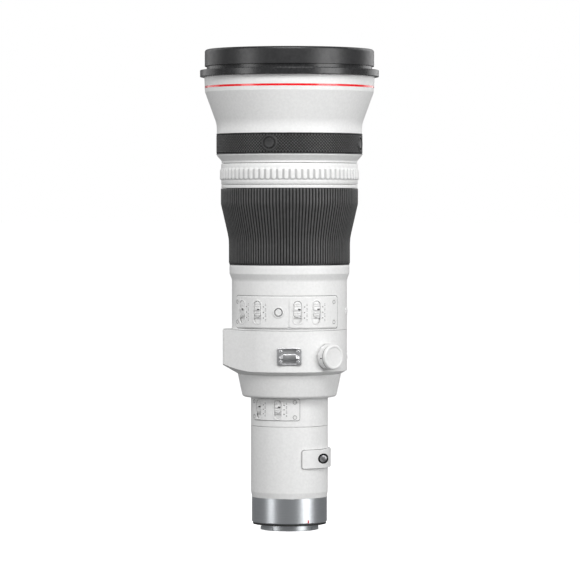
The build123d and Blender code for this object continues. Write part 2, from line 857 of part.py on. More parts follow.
bayonet_lugs = [
    sector(
        bayonet_r - 0.5,
        bayonet_r + lug_rise,
        0.3,
        0.3 + bayonet_lug_thickness,
        angle - bayonet_lug_half_angle,
        angle + bayonet_lug_half_angle,
    )
    for angle in bayonet_lug_angles
]
with BuildPart() as bayonet:
    add(bayonet_tube.part)
    for lug in bayonet_lugs:
        add(lug.part)
    with BuildSketch(Plane.XY.offset(z_flange)):
        with PolarLocations(screw_ring_r, mount_screw_count, start_angle=45):
            Circle(mount_screw_r + 0.05)
    extrude(amount=flange_plate, mode=Mode.SUBTRACT)
with BuildPart() as mount_screws:
    with BuildSketch(Plane.XY.offset(z_flange + 0.3)):
        with PolarLocations(screw_ring_r, mount_screw_count, start_angle=45):
            Circle(mount_screw_r)
    extrude(amount=flange_plate - 0.3)

# Contact block inside the bayonet, on the +X side, with its row of pins
contact_ring_r = bayonet_bore - contact_inset
block_half = contact_half_angle
block_top = z_flange + flange_plate + 2.0
block_arc = sector(
    contact_ring_r - 2.0, bayonet_bore, contact_face, block_top, 90 - block_half, 90 + block_half
)
middle_pin = (contact_count - 1) / 2
contact_angles = [90 + contact_pitch * (index - middle_pin) for index in range(contact_count)]
with BuildPart() as contact_block:
    add(block_arc.part)
    with BuildSketch(Plane.XY.offset(contact_face)):
        for angle in contact_angles:
            with Locations(outward(angle) * contact_ring_r):
                Circle(contact_r + 0.05)
    extrude(amount=contact_bore, mode=Mode.SUBTRACT)
with BuildPart() as contact_pins:
    with BuildSketch(Plane.XY.offset(contact_face - 0.4)):
        for angle in contact_angles:
            with Locations(outward(angle) * contact_ring_r):
                Circle(contact_r)
    extrude(amount=contact_bore + 0.4)

# Rear baffle, a funnel between the bayonet and the rear group
baffle_top = z_flange + 16.0
rear_baffle = turned(
    (bayonet_bore + 2.0, z_flange + flange_plate),
    (rear_bore - 1.4, z_flange + flange_plate),
    (rear_bore - 1.4, z_flange + flange_plate + 1.2),
    (bayonet_bore + 3.2, z_flange + flange_plate + 1.2),
    (rear_lens_r + 1.2, baffle_top),
    (rear_lens_r, baffle_top),
    (rear_lens_r, baffle_top - 1.5),
)

# Rear group: a cell that closes the mount ring, with its glass
rear_cell_low = baffle_top
cell_flange = 3.0
rear_cell = turned(
    (rear_lens_r - 0.8, rear_cell_low),
    (rear_lens_r + 3.0, rear_cell_low),
    (rear_lens_r + 3.0, z_rear_tube),
    (rear_bore, z_rear_tube),
    (rear_bore, z_rear_tube + cell_flange),
    (rear_lens_r, z_rear_tube + cell_flange),
    (rear_lens_r, rear_cell_low + 1.0),
    (rear_lens_r - 0.8, rear_cell_low + 1.0),
)
rear_element = lens(rear_lens_r - glass_gap, rear_cell_low + 3.0, 3.0, 2.0, 1.6)

# Front element on the rim's shelf, held by a screwed retainer
front_lens_r = rim_bore - glass_gap
front_element = lens(front_lens_r, shelf_z, front_element_edge, front_element_sag)
retainer_low = shelf_z + front_element_edge
front_retainer = turned(
    (front_lens_r - 1.6, retainer_low + 0.5),
    (front_lens_r, retainer_low + 0.15),
    (rim_bore, retainer_low + 0.15),
    (rim_bore, retainer_low + retainer_height),
    (front_lens_r - 1.6, retainer_low + retainer_height, 0.3),
)

# Front doublet in its cell, behind the grip
doublet_low = z_grip + 4.0
doublet_cell = turned(
    (doublet_r - 1.5, doublet_low - 2.0),
    (front_bore, doublet_low - 2.0),
    (front_bore, doublet_low + doublet_edge),
    (doublet_r, doublet_low + doublet_edge),
    (doublet_r, doublet_low),
    (doublet_r - 1.5, doublet_low),
)
front_doublet = lens(doublet_r - glass_gap, doublet_low, doublet_edge, doublet_sag)

# Focusing group on two rods inside the main barrel
rod_angles = (80.0, 260.0)
focus_cell_turned = turned(
    (focus_lens_r - 1.0, focus_cell_low),
    (focus_cell_r, focus_cell_low),
    (focus_cell_r, focus_cell_low + focus_cell_length),
    (focus_lens_r, focus_cell_low + focus_cell_length),
    (focus_lens_r, focus_cell_low + 2.0),
    (focus_lens_r - 1.0, focus_cell_low + 2.0),
)
with BuildPart() as focus_cell:
    add(focus_cell_turned.part)
    with BuildSketch(Plane.XY.offset(focus_cell_low)):
        for angle in rod_angles:
            with Locations(Location(outward(angle) * (rod_circle_r - 2.5), (0, 0, angle))):
                RectangleRounded(8.0, 9.0, 2.0)
        Circle(focus_lens_r + 1.0, mode=Mode.SUBTRACT)
    extrude(amount=focus_cell_length)
    with BuildSketch(Plane.XY.offset(focus_cell_low)):
        for angle in rod_angles:
            with Locations(outward(angle) * rod_circle_r):
                Circle(rod_r + running_fit)
    extrude(amount=focus_cell_length, mode=Mode.SUBTRACT)
focus_lens = lens(focus_lens_r - glass_gap, focus_cell_low + 4.0, 6.0, 3.0)
with BuildPart() as focus_rods:
    with BuildSketch(Plane.XY.offset(rod_low)):
        for angle in rod_angles:
            with Locations(outward(angle) * rod_circle_r):
                Circle(rod_r)
    extrude(amount=rod_top - rod_low)

# Iris unit: a flat round housing with its opening, below the focusing group
iris_low = rod_low - iris_height
iris_unit = turned(
    (iris_bore_r, iris_low),
    (barrel_bore, iris_low),
    (barrel_bore, iris_low + iris_height),
    (iris_bore_r, iris_low + iris_height),
    (iris_bore_r, iris_low + iris_height - 3.5),
    (iris_bore_r + 12.0, iris_low + iris_height - 3.5),
    (iris_bore_r + 12.0, iris_low + 3.5),
    (iris_bore_r, iris_low + 3.5),
)

# Focus motor beside the iris, on the inner wall of the neck
motor_r = 4.5
motor_length = 18.0
motor_low = iris_low - motor_length - 0.5
with BuildPart() as focus_motor:
    with BuildSketch(Plane.XY.offset(motor_low)):
        with Locations(outward(135) * (neck_bore - motor_r - 0.6)):
            Circle(motor_r)
    extrude(amount=motor_length)

# Image stabiliser: base in the neck, a frame that slides in X, and in it a frame that slides in Y
base_low = z_collar + 6.0
frame_x_low = base_low + stabiliser_plate + loose_fit
frame_y_low = frame_x_low + stabiliser_plate + loose_fit
frame_r = stabiliser_lens_r + 9.0
stabiliser_base = turned(
    (stabiliser_lens_r + 2.0, base_low),
    (neck_bore, base_low),
    (neck_bore, base_low + stabiliser_plate),
    (stabiliser_lens_r + 2.0, base_low + stabiliser_plate),
)
stabiliser_frame_x = turned(
    (stabiliser_lens_r + 2.0, frame_x_low),
    (frame_r, frame_x_low),
    (frame_r, frame_x_low + stabiliser_plate),
    (stabiliser_lens_r + 2.0, frame_x_low + stabiliser_plate),
)
stabiliser_frame_y = turned(
    (stabiliser_lens_r - 0.8, frame_y_low),
    (frame_r, frame_y_low),
    (frame_r, frame_y_low + stabiliser_plate + 3.0),
    (stabiliser_lens_r, frame_y_low + stabiliser_plate + 3.0),
    (stabiliser_lens_r, frame_y_low + 1.0),
    (stabiliser_lens_r - 0.8, frame_y_low + 1.0),
)
stabiliser_lens = lens(stabiliser_lens_r - glass_gap, frame_y_low + 1.0, 4.0, 1.5)

# Ring-shaped circuit board in the rear cone
board_low = z_cone + 3.0
circuit_board = turned(
    (stabiliser_lens_r, board_low),
    (cone_low_r - cone_wall - 3.0, board_low),
    (cone_low_r - cone_wall - 3.0, board_low + board_thickness),
    (stabiliser_lens_r, board_low + board_thickness),
)

# Tripod collar with its foot pad, lug seats, knob seat and brake pocket
collar_low = z_collar + seam / 2
collar_high = z_barrel - seam
lip_top = z_collar + collar_lip_height
lug_z = z_barrel - lug_drop
lug_seat_r = barrel_r - lug_seat_depth
lug_sides = (0, 180)
knob_z = z_barrel - knob_drop
knob_seat_r = barrel_r - knob_seat_depth
shoe_r = bearing_r + 0.15
shoe_pocket_r = shoe_r + shoe_thickness + shoe_travel + 0.05
pad_x = barrel_r + pad_reach
pad_bolt_mid = z_barrel - pad_bolt_below_top
tangent_angle = atan2(pad_half_width, pad_x) + acos(barrel_r / sqrt(pad_x**2 + pad_half_width**2))
tangent_x = -barrel_r * cos(tangent_angle)
tangent_y = barrel_r * sin(tangent_angle)
cone_reach = pad_x + 5
under_cone = turned(
    (cone_high_r, collar_low),
    (cone_reach, collar_low + (cone_reach - cone_high_r) * tan(radians(collar_cone_angle))),
    (cone_reach, collar_low - 5),
    (cone_high_r, collar_low - 5),
)
pad_face = Plane(origin=(-pad_x, 0, pad_bolt_mid), x_dir=(0, -1, 0), z_dir=(-1, 0, 0))
with BuildPart() as tripod_collar:
    with BuildSketch(Plane.XY.offset(collar_low)):
        Circle(barrel_r)
        with BuildLine():
            Polyline(
                (-pad_x, pad_half_width),
                (-pad_x, -pad_half_width),
                (tangent_x, -tangent_y),
                (tangent_x, tangent_y),
                close=True,
            )
        make_face()
    extrude(amount=collar_high - collar_low)
    fillet(tripod_collar.edges().filter_by(Axis.Z).sort_by(Axis.X)[:2], pad_corner)
    add(under_cone.part, mode=Mode.SUBTRACT)
    with BuildSketch(Plane.XY.offset(lip_top)):
        Circle(collar_bore)
    extrude(amount=collar_high - lip_top, mode=Mode.SUBTRACT)
    with BuildSketch(Plane.XY.offset(collar_low)):
        Circle(neck_r)
    extrude(amount=lip_top - collar_low, mode=Mode.SUBTRACT)
    with BuildSketch(pad_face):
        with GridLocations(pad_bolt_y, pad_bolt_z, 2, 2):
            Circle(pad_bolt_r)
    extrude(amount=-pad_bolt_depth, mode=Mode.SUBTRACT)
    for angle in lug_sides:
        with BuildSketch(side_plane(angle, lug_z, lug_seat_r)):
            RectangleRounded(lug_width + 0.1, lug_height + 0.1, lug_corner)
        extrude(amount=lug_seat_depth + 5, mode=Mode.SUBTRACT)
        with BuildSketch(side_plane(angle, lug_z, lug_seat_r + lug_plate - lug_screw_shaft)):
            with GridLocations(2 * lug_screw_x, 2 * lug_screw_z, 2, 2):
                Circle(lug_screw_shaft_r + 0.05)
        extrude(amount=lug_screw_shaft, mode=Mode.SUBTRACT)
    with BuildSketch(side_plane(knob_angle, knob_z, knob_seat_r)):
        Circle(knob_r + 0.6)
    extrude(amount=knob_seat_depth + 5, mode=Mode.SUBTRACT)
    with BuildSketch(side_plane(knob_angle, knob_z, bearing_r - 2)):
        Circle(knob_shaft_r + running_fit)
    extrude(amount=10, mode=Mode.SUBTRACT)
    with BuildSketch(side_plane(knob_angle, knob_z, bearing_r - 5)):
        Rectangle(shoe_side + 0.3, shoe_side + 0.3)
    extrude(amount=shoe_pocket_r - bearing_r + 5, mode=Mode.SUBTRACT)


def strap_lug(angle):
    """Metal plate with a raised bar that a strap passes behind."""
    with BuildPart() as lug:
        with BuildSketch(side_plane(angle, lug_z, lug_seat_r)):
            RectangleRounded(lug_width, lug_height, lug_corner)
        extrude(amount=lug_plate)
        with BuildSketch(side_plane(angle, lug_z, lug_seat_r + lug_floor)):
            Rectangle(2 * lug_window_half, 2 * lug_window_top)
        extrude(amount=lug_plate, mode=Mode.SUBTRACT)
        with BuildSketch(side_plane(angle, lug_z, lug_seat_r + lug_floor + lug_bar_gap)):
            Rectangle(lug_bar_length, lug_bar_width)
        extrude(amount=lug_bar_thickness)
        with BuildSketch(side_plane(angle, lug_z, lug_seat_r + lug_plate - lug_screw_head)):
            with GridLocations(2 * lug_screw_x, 2 * lug_screw_z, 2, 2):
                Circle(lug_screw_r + 0.05)
        extrude(amount=5, mode=Mode.SUBTRACT)
        with BuildSketch(side_plane(angle, lug_z, lug_seat_r - 1)):
            with GridLocations(2 * lug_screw_x, 2 * lug_screw_z, 2, 2):
                Circle(lug_screw_shaft_r + 0.05)
        extrude(amount=5, mode=Mode.SUBTRACT)
    return lug


left_lug = strap_lug(lug_sides[0])
right_lug = strap_lug(lug_sides[1])
with BuildPart() as strap_lugs:
    add(left_lug.part)
    add(right_lug.part)
with BuildPart() as lug_screws:
    for angle in lug_sides:
        with BuildSketch(side_plane(angle, lug_z, lug_seat_r + lug_plate - lug_screw_head)):
            with GridLocations(2 * lug_screw_x, 2 * lug_screw_z, 2, 2):
                Circle(lug_screw_r)
        extrude(amount=lug_screw_head)
        with BuildSketch(side_plane(angle, lug_z, lug_seat_r + lug_plate - lug_screw_shaft)):
            with GridLocations(2 * lug_screw_x, 2 * lug_screw_z, 2, 2):
                Circle(lug_screw_shaft_r)
        extrude(amount=lug_screw_shaft - lug_screw_head)

# Lock knob on its threaded shaft, and the brake shoe that rides the thread like a nut
knob_base_r = knob_seat_r + loose_fit
with BuildPart() as lock_knob:
    with BuildSketch(side_plane(knob_angle, knob_z, knob_base_r)):
        Circle(knob_r)
    extrude(amount=knob_height)
    beyond_knob = outward(knob_angle) * 200 + Vector(0, 0, knob_z)
    fillet(lock_knob.faces().sort_by_distance(beyond_knob)[0].edges(), 2.0)
    with BuildSketch(side_plane(knob_angle, knob_z, knob_base_r + knob_band - 0.6)):
        Circle(knob_r + 1)
        Circle(knob_r - knob_groove, mode=Mode.SUBTRACT)
    extrude(amount=0.6, mode=Mode.SUBTRACT)
    with BuildSketch(side_plane(knob_angle, knob_z, shoe_r + 0.2)):
        Circle(knob_shaft_r)
    extrude(amount=knob_base_r - shoe_r)
with BuildPart() as brake_shoe:
    with BuildSketch(side_plane(knob_angle, knob_z, shoe_r)):
        RectangleRounded(shoe_side, shoe_side, 1.0)
        Circle(knob_shaft_r + running_fit, mode=Mode.SUBTRACT)
    extrude(amount=shoe_thickness)

pieces = {
    "front_rim": front_rim,
    "front_element": front_element,
    "front_retainer": front_retainer,
    "front_barrel": front_barrel,
    "accent_ring": accent_ring,
    "front_grip": front_grip,
    "doublet_cell": doublet_cell,
    "front_doublet": front_doublet,
    "chassis_tube": chassis_tube,
    "ring_divider": ring_divider,
    "preset_ring": preset_ring,
    "focus_sleeve": focus_sleeve,
    "focus_rubber": focus_rubber,
    "main_barrel": main_barrel,
    "switch_panel_left": switch_panel_left,
    "switch_panel_right": switch_panel_right,
    "set_button": set_button,
    "focus_cell": focus_cell,
    "focus_lens": focus_lens,
    "focus_rods": focus_rods,
    "focus_motor": focus_motor,
    "iris_unit": iris_unit,
    "stabiliser_base": stabiliser_base,
    "stabiliser_frame_x": stabiliser_frame_x,
    "stabiliser_frame_y": stabiliser_frame_y,
    "stabiliser_lens": stabiliser_lens,
    "tripod_collar": tripod_collar,
    "strap_lugs": strap_lugs,
    "lug_screws": lug_screws,
    "lock_knob": lock_knob,
    "brake_shoe": brake_shoe,
    "rear_cone": rear_cone,
    "circuit_board": circuit_board,
    "switch_housing": switch_housing,
    "switch_panel_lower": switch_panel_lower,
    "panel_screws": panel_screws,
    "rear_tube": rear_tube,
    "filter_holder": filter_holder,
    "filter_glass": filter_glass,
    "rear_cell": rear_cell,
    "rear_element": rear_element,
    "rear_baffle": rear_baffle,
    "mount_ring": mount_ring,
    "mount_seal": mount_seal,
    "bayonet": bayonet,
    "mount_screws": mount_screws,
    "contact_block": contact_block,
    "contact_pins": contact_pins,
}
for index, stop_button in enumerate(stop_buttons):
    pieces[f"stop_button_{index + 1}"] = stop_button
for index, knob in enumerate(upper_knobs + lower_knobs):
    pieces[f"switch_knob_{index + 1}"] = knob
for index, filter_button in enumerate(filter_buttons):
    pieces[f"filter_button_{index + 1}"] = filter_button

os.makedirs("parts", exist_ok=True)
for name, piece in pieces.items():
    piece.part.label = name
    export_step(piece.part, f"parts/{name}.step")
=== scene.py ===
import json
from math import atan2, cos, floor, hypot, pi, radians, sin, tan

import bmesh
import bpy
from mathutils import Matrix, Vector


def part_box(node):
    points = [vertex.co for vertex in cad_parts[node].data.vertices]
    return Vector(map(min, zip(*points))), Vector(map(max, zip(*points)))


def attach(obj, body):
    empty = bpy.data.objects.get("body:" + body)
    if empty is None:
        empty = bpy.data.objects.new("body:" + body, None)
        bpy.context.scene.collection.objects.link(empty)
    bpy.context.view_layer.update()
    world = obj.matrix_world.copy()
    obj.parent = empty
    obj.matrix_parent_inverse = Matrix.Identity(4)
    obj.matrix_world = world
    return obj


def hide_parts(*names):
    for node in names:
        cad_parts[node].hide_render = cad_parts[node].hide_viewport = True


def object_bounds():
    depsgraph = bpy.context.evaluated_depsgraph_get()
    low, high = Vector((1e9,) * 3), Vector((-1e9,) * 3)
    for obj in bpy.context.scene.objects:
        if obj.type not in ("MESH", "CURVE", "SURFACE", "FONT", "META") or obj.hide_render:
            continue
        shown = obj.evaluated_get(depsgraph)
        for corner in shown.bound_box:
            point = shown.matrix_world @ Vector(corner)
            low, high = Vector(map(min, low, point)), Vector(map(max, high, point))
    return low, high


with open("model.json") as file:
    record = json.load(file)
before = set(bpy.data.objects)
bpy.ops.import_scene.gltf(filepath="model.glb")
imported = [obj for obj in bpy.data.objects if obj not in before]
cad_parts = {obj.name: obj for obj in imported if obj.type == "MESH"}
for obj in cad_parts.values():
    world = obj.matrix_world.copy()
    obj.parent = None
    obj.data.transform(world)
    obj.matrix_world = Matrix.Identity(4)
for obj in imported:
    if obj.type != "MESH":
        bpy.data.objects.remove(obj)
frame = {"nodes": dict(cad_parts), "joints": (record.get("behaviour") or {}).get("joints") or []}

# A large white telephoto lens that stands on its bayonet. Everything is in metres, in the frame of the
# CAD model: Z is the optical axis, and angles round it start at the -Y side and grow towards +X.
cad_low, cad_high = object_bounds()
MM = 0.001


# ---------------------------------------------------------------- measures taken from the frame


def joint(name):
    """The record's joint of this name."""
    return next(entry for entry in frame["joints"] if entry["name"] == name)


def press_angle(name):
    """Angle round the lens of a button that is pressed straight inwards."""
    x, y, _ = joint(name)["axis"]
    return atan2(-x, y)


def middle(node):
    """Centre of a CAD node's box."""
    low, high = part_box(node)
    return (low + high) / 2


def half_width(node):
    """Half of a CAD node's width, which is the radius of a turned one."""
    low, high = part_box(node)
    return (high.y - low.y) / 2


def outward(angle):
    return Vector((sin(angle), -cos(angle), 0))


def tip(node):
    """Angle and height of the part of a CAD node that stands farthest from the lens's axis."""
    points = [vertex.co for vertex in frame["nodes"][node].data.vertices]
    reach = max(hypot(point.x, point.y) for point in points)
    far = [point for point in points if hypot(point.x, point.y) > reach - 0.005 * MM]
    centre = sum(far, Vector()) / len(far)
    return atan2(centre.x, -centre.y), centre.z


def reach_along(node, angle):
    """How far a CAD node reaches from the lens's axis in this direction."""
    return max(vertex.co.dot(outward(angle)) for vertex in frame["nodes"][node].data.vertices)


CLEAR_OF_LENS = 0.2
PLAIN_SIDE = radians(200)


def outer_radius(node, height, angle=PLAIN_SIDE):
    """Radius at which a CAD node is first met from outside, at this height and angle."""
    away = outward(angle)
    start = away * CLEAR_OF_LENS + Vector((0, 0, height))
    hit, point, _, _ = frame["nodes"][node].ray_cast(start, -away)
    return hypot(point.x, point.y) if hit else 0.0


# ---------------------------------------------------------------- mesh helpers

WELD_DISTANCE = 1e-6
SAME_POINT = 1e-9


def side_frame(angle, height):
    """Local axes at the lens's axis, turned to its side: x to the right, y up, z outwards."""
    right = Vector((cos(angle), sin(angle), 0))
    up = Vector((0, 0, 1))
    away = outward(angle)
    return Matrix.Translation(up * height) @ Matrix((right, up, away)).transposed().to_4x4()


def finish_piece(name, bm, body, slot, replaced=(), sharp=30):
    """Turns a bmesh into a named piece that rides on a body and stands for CAD nodes."""
    bmesh.ops.remove_doubles(bm, verts=bm.verts, dist=WELD_DISTANCE)
    bmesh.ops.recalc_face_normals(bm, faces=bm.faces)
    mesh = bpy.data.meshes.new(name)
    bm.to_mesh(mesh)
    bm.free()
    mesh.shade_smooth()
    mesh.set_sharp_from_angle(angle=radians(sharp))
    piece = bpy.data.objects.new(name, mesh)
    bpy.context.scene.collection.objects.link(piece)
    mesh.materials.append(MATERIALS[slot])
    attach(piece, body)
    if replaced:
        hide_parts(*replaced)
    return piece


def rounded(outline, step=radians(12)):
    """Points of a closed outline of (x, y) or (x, y, corner radius), with the corners as arcs."""
    count = len(outline)
    points = []
    for index, corner in enumerate(outline):
        here = Vector(corner[:2])
        radius = corner[2] if len(corner) > 2 else 0
        if radius == 0:
            points.append(here)
            continue
        before = (Vector(outline[index - 1][:2]) - here).normalized()
        after = (Vector(outline[(index + 1) % count][:2]) - here).normalized()
        half = before.angle(after) / 2
        centre = here + (before + after).normalized() * radius / sin(half)
        start = here + before * radius / tan(half) - centre
        sweep = start.angle_signed(here + after * radius / tan(half) - centre)
        steps = max(2, round(abs(sweep) / step))
        for turn in range(steps + 1):
            part = sweep * turn / steps
            points.append(centre + Matrix.Rotation(-part, 2) @ start)
    return points


def turned(outline, columns, relief=None, place=None):
    """Closed outline of (radius, height) points turned about Z.

    relief(angle, radius, height) gives the radius to use instead, for ribs and flutes.
    """
    bm = bmesh.new()
    grid = []
    for column in range(columns):
        angle = 2 * pi * column / columns
        direction = outward(angle)
        ring = []
        for radius, height in outline:
            reach = relief(angle, radius, height) if relief else radius
            ring.append(bm.verts.new(direction * reach + Vector((0, 0, height))))
        grid.append(ring)
    for column in range(columns):
        left, right = grid[column], grid[(column + 1) % columns]
        for row in range(len(outline)):
            after = (row + 1) % len(outline)
            corners = (left[row], right[row], right[after], left[after])
            if (corners[0].co - corners[1].co).length < SAME_POINT:
                corners = (corners[0], corners[2], corners[3])
            elif (corners[2].co - corners[3].co).length < SAME_POINT:
                corners = (corners[0], corners[1], corners[2])
            bm.faces.new(corners)
    if place is not None:
        bm.transform(place)
    return bm


def skin_rings(bm, rings, closed=False):
    """Faces between neighbouring rings of vertices; closed joins the last ring to the first."""
    for row in range(len(rings) if closed else len(rings) - 1):
        lower, upper = rings[row], rings[(row + 1) % len(rings)]
        for index in range(len(lower)):
            after = (index + 1) % len(lower)
            bm.faces.new((lower[index], lower[after], upper[after], upper[index]))


def stacked(loops, place=None, wrap_radius=None, angle=0.0, height=0.0):
    """Closed solid through loops of equal point counts, given as (points, level), with flat ends.

    With a wrap radius the loops bend round the lens: x runs along the arc and the level adds to the radius.
    """
    bm = bmesh.new()
    rings = []
    for points, level in loops:
        ring = []
        for x, y in points:
            if wrap_radius is None:
                spot = Vector((x, y, level))
            else:
                spot = outward(angle + x / wrap_radius) * (wrap_radius + level) + Vector((0, 0, height + y))
            ring.append(bm.verts.new(spot))
        rings.append(ring)
    skin_rings(bm, rings)
    bm.faces.new(list(reversed(rings[0])))
    bm.faces.new(rings[-1])
    if place is not None:
        bm.transform(place)
    return bm


def box_outline(width, height, corner, steps=5):
    """Rounded rectangle about the origin, anticlockwise."""
    points = []
    for quarter, (side_x, side_y) in enumerate(((1, 1), (-1, 1), (-1, -1), (1, -1))):
        centre = Vector((side_x * (width / 2 - corner), side_y * (height / 2 - corner)))
        for step in range(steps + 1):
            turn = pi / 2 * (quarter + step / steps)
            points.append(centre + Vector((cos(turn), sin(turn))) * corner)
    return points


def inset(points, distance):
    """The outline moved inwards by a distance."""
    moved = []
    for index, point in enumerate(points):
        before, after = points[index - 1], points[(index + 1) % len(points)]
        along_in, along_out = (point - before).normalized(), (after - point).normalized()
        along = (along_in + along_out).normalized()
        spread = max(0.4, along_in.dot(along))
        moved.append(point + Vector((-along.y, along.x)) * distance / spread)
    return moved


def dense(points, step):
    """The outline with extra points, so that it can bend round the lens."""
    path = []
    for index, point in enumerate(points):
        after = points[(index + 1) % len(points)]
        parts = max(1, round((after - point).length / step))
        path += [point.lerp(after, part / parts) for part in range(parts)]
    return path


def pillow(points, low, high, edge, steps=3):
    """Loops of a plate whose top edge is rounded."""
    loops = [(points, low)]
    for step in range(steps + 1):
        turn = pi / 2 * step / steps
        loops.append((inset(points, edge * (1 - cos(turn))), high - edge * (1 - sin(turn))))
    return loops


def drum(radius, low, high, edge):
    """Outline of a solid disc whose upper edge is rounded."""
    return rounded([(0, low), (radius, low), (radius, high, edge), (0, high)])


def ring_section(inner, outer, low, high, inner_high=None):
    """Outline of a square-edged ring, whose top may slope towards its inner edge."""
    return [(inner, low), (outer, low), (outer, high), (inner, high if inner_high is None else inner_high)]


def join(*parts):
    """One bmesh that holds several."""
    whole = bmesh.new()
    for part in parts:
        mesh = bpy.data.meshes.new("part")
        part.to_mesh(mesh)
        part.free()
        whole.from_mesh(mesh)
        bpy.data.meshes.remove(mesh)
    return whole


def window_frame(outer, inner, low, high, edge):
    """Plate between two outlines of equal point counts, with its top edges rounded."""
    loops = [(outer, low), (outer, high - edge), (inset(outer, 0.3 * edge), high - 0.3 * edge)]
    loops += [(inset(outer, edge), high), (inset(inner, -edge), high), (inner, high - edge), (inner, low)]
    bm = bmesh.new()
    rings = [[bm.verts.new((x, y, level)) for x, y in points] for points, level in loops]
    skin_rings(bm, rings, closed=True)
    return bm


def bead(path, width, rise, sink, wrap_radius, angle, height):
    """Half-round bead along a closed path, bent round the lens."""
    section = [(-0.5, -sink), (-0.5, 0.0), (-0.36, 0.7 * rise), (0.0, rise)]
    section += [(0.36, 0.7 * rise), (0.5, 0.0), (0.5, -sink)]
    bm = bmesh.new()
    rings = []
    for side, level in section:
        ring = []
        for x, y in inset(path, -side * width):
            spot = outward(angle + x / wrap_radius) * (wrap_radius + level)
            ring.append(bm.verts.new(spot + Vector((0, 0, height + y))))
        rings.append(ring)
    skin_rings(bm, rings, closed=True)
    return bm


# ---------------------------------------------------------------- materials


def new_material(name, colour, roughness, metallic=0.0):
    """A material with a principled shader."""
    material = bpy.data.materials.new(name)
    material.use_nodes = True
    shader = material.node_tree.nodes["Principled BSDF"]
    shader.inputs["Base Color"].default_value = (*colour, 1)
    shader.inputs["Roughness"].default_value = roughness
    shader.inputs["Metallic"].default_value = metallic
    return material


def add_node(material, kind, **values):
    node = material.node_tree.nodes.new(kind)
    for key, value in values.items():
        if key in node.inputs:
            node.inputs[key].default_value = value
        else:
            setattr(node, key, value)
    return node


def wire(material, source, output, target, entry):
    material.node_tree.links.new(source.outputs[output], target.inputs[entry])


def shader_of(material):
    return material.node_tree.nodes["Principled BSDF"]


def noise(material, scale, detail=3.0, roughness=0.5, stretch=(1, 1, 1)):
    """Noise in the object's own coordinates; scale is in cycles per metre."""
    place = add_node(material, "ShaderNodeTexCoord")
    mapping = add_node(material, "ShaderNodeMapping")
    mapping.inputs["Scale"].default_value = stretch
    grain = add_node(material, "ShaderNodeTexNoise", Scale=scale, Detail=detail, Roughness=roughness)
    wire(material, place, "Object", mapping, "Vector")
    wire(material, mapping, "Vector", grain, "Vector")
    return grain


def ramp(material, source, low, high, out_low, out_high, output=0):
    """Maps a node's value from low..high to out_low..out_high."""
    mapped = add_node(material, "ShaderNodeMapRange")
    mapped.inputs["From Min"].default_value = low
    mapped.inputs["From Max"].default_value = high
    mapped.inputs["To Min"].default_value = out_low
    mapped.inputs["To Max"].default_value = out_high
    wire(material, source, output, mapped, "Value")
    return mapped


def mottle(material, scale, dark, light, stretch=(1, 1, 1)):
    """Small colour variation over the surface."""
    grain = noise(material, scale, 4.0, 0.6, stretch)
    mix = add_node(material, "ShaderNodeMix", data_type="RGBA")
    mix.inputs["A"].default_value = (*dark, 1)
    mix.inputs["B"].default_value = (*light, 1)
    share = ramp(material, grain, 0.35, 0.65, 0.0, 1.0)
    wire(material, share, "Result", mix, "Factor")
    wire(material, mix, "Result", shader_of(material), "Base Color")


def vary_roughness(material, scale, low, high, stretch=(1, 1, 1)):
    grain = noise(material, scale, 3.0, 0.6, stretch)
    share = ramp(material, grain, 0.3, 0.7, low, high)
    wire(material, share, "Result", shader_of(material), "Roughness")


def add_to_roughness(material, first, second):
    """Uses the sum of two mapped values as the roughness."""
    total = add_node(material, "ShaderNodeMath", operation="ADD")
    wire(material, first, "Result", total, 0)
    wire(material, second, "Result", total, 1)
    wire(material, total, 0, shader_of(material), "Roughness")


def bump(material, scale, depth, detail=2.0, stretch=(1, 1, 1), bevel=0.0):
    """Fine relief of this depth, with the edges of the mesh softened by the bevel radius."""
    grain = noise(material, scale, detail, 0.55, stretch)
    relief = add_node(material, "ShaderNodeBump", Strength=1.0, Distance=depth)
    wire(material, grain, 0, relief, "Height")
    if bevel > 0:
        soft = add_node(material, "ShaderNodeBevel", Radius=bevel)
        soft.samples = 4
        wire(material, soft, "Normal", relief, "Normal")
    wire(material, relief, "Normal", shader_of(material), "Normal")


def coating(name, colours, grain, relief, metallic=0.0, stretch=(1, 1, 1)):
    """Material with mottled colour, uneven roughness and a fine relief.

    colours is (scale, dark, light), grain is (scale, low, high), and relief is (scale, depth, detail, bevel)
    with depth and bevel in millimetres.
    """
    material = new_material(name, colours[2], (grain[1] + grain[2]) / 2, metallic)
    mottle(material, *colours, stretch)
    vary_roughness(material, *grain, stretch)
    scale, depth, detail, bevel = relief
    bump(material, scale, depth * MM, detail, stretch, bevel * MM)
    return material


def grey(level):
    return (level, level, level)


def set_gloss(material, **values):
    """Sets uniform values on the shader's own sockets; Coat_Weight means the socket Coat Weight."""
    for entry, value in values.items():
        shader_of(material).inputs[entry.replace("_", " ")].default_value = value
    return material


def white_enamel(name):
    """Off-white heat-shield enamel with a fine sprayed grain."""
    colours = (420, (0.775, 0.775, 0.77), (0.825, 0.825, 0.82))
    material = coating(name, colours, (160, 0.36, 0.50), (1900, 0.035, 2.0, 0.25))
    return set_gloss(material, Specular_IOR_Level=0.45)


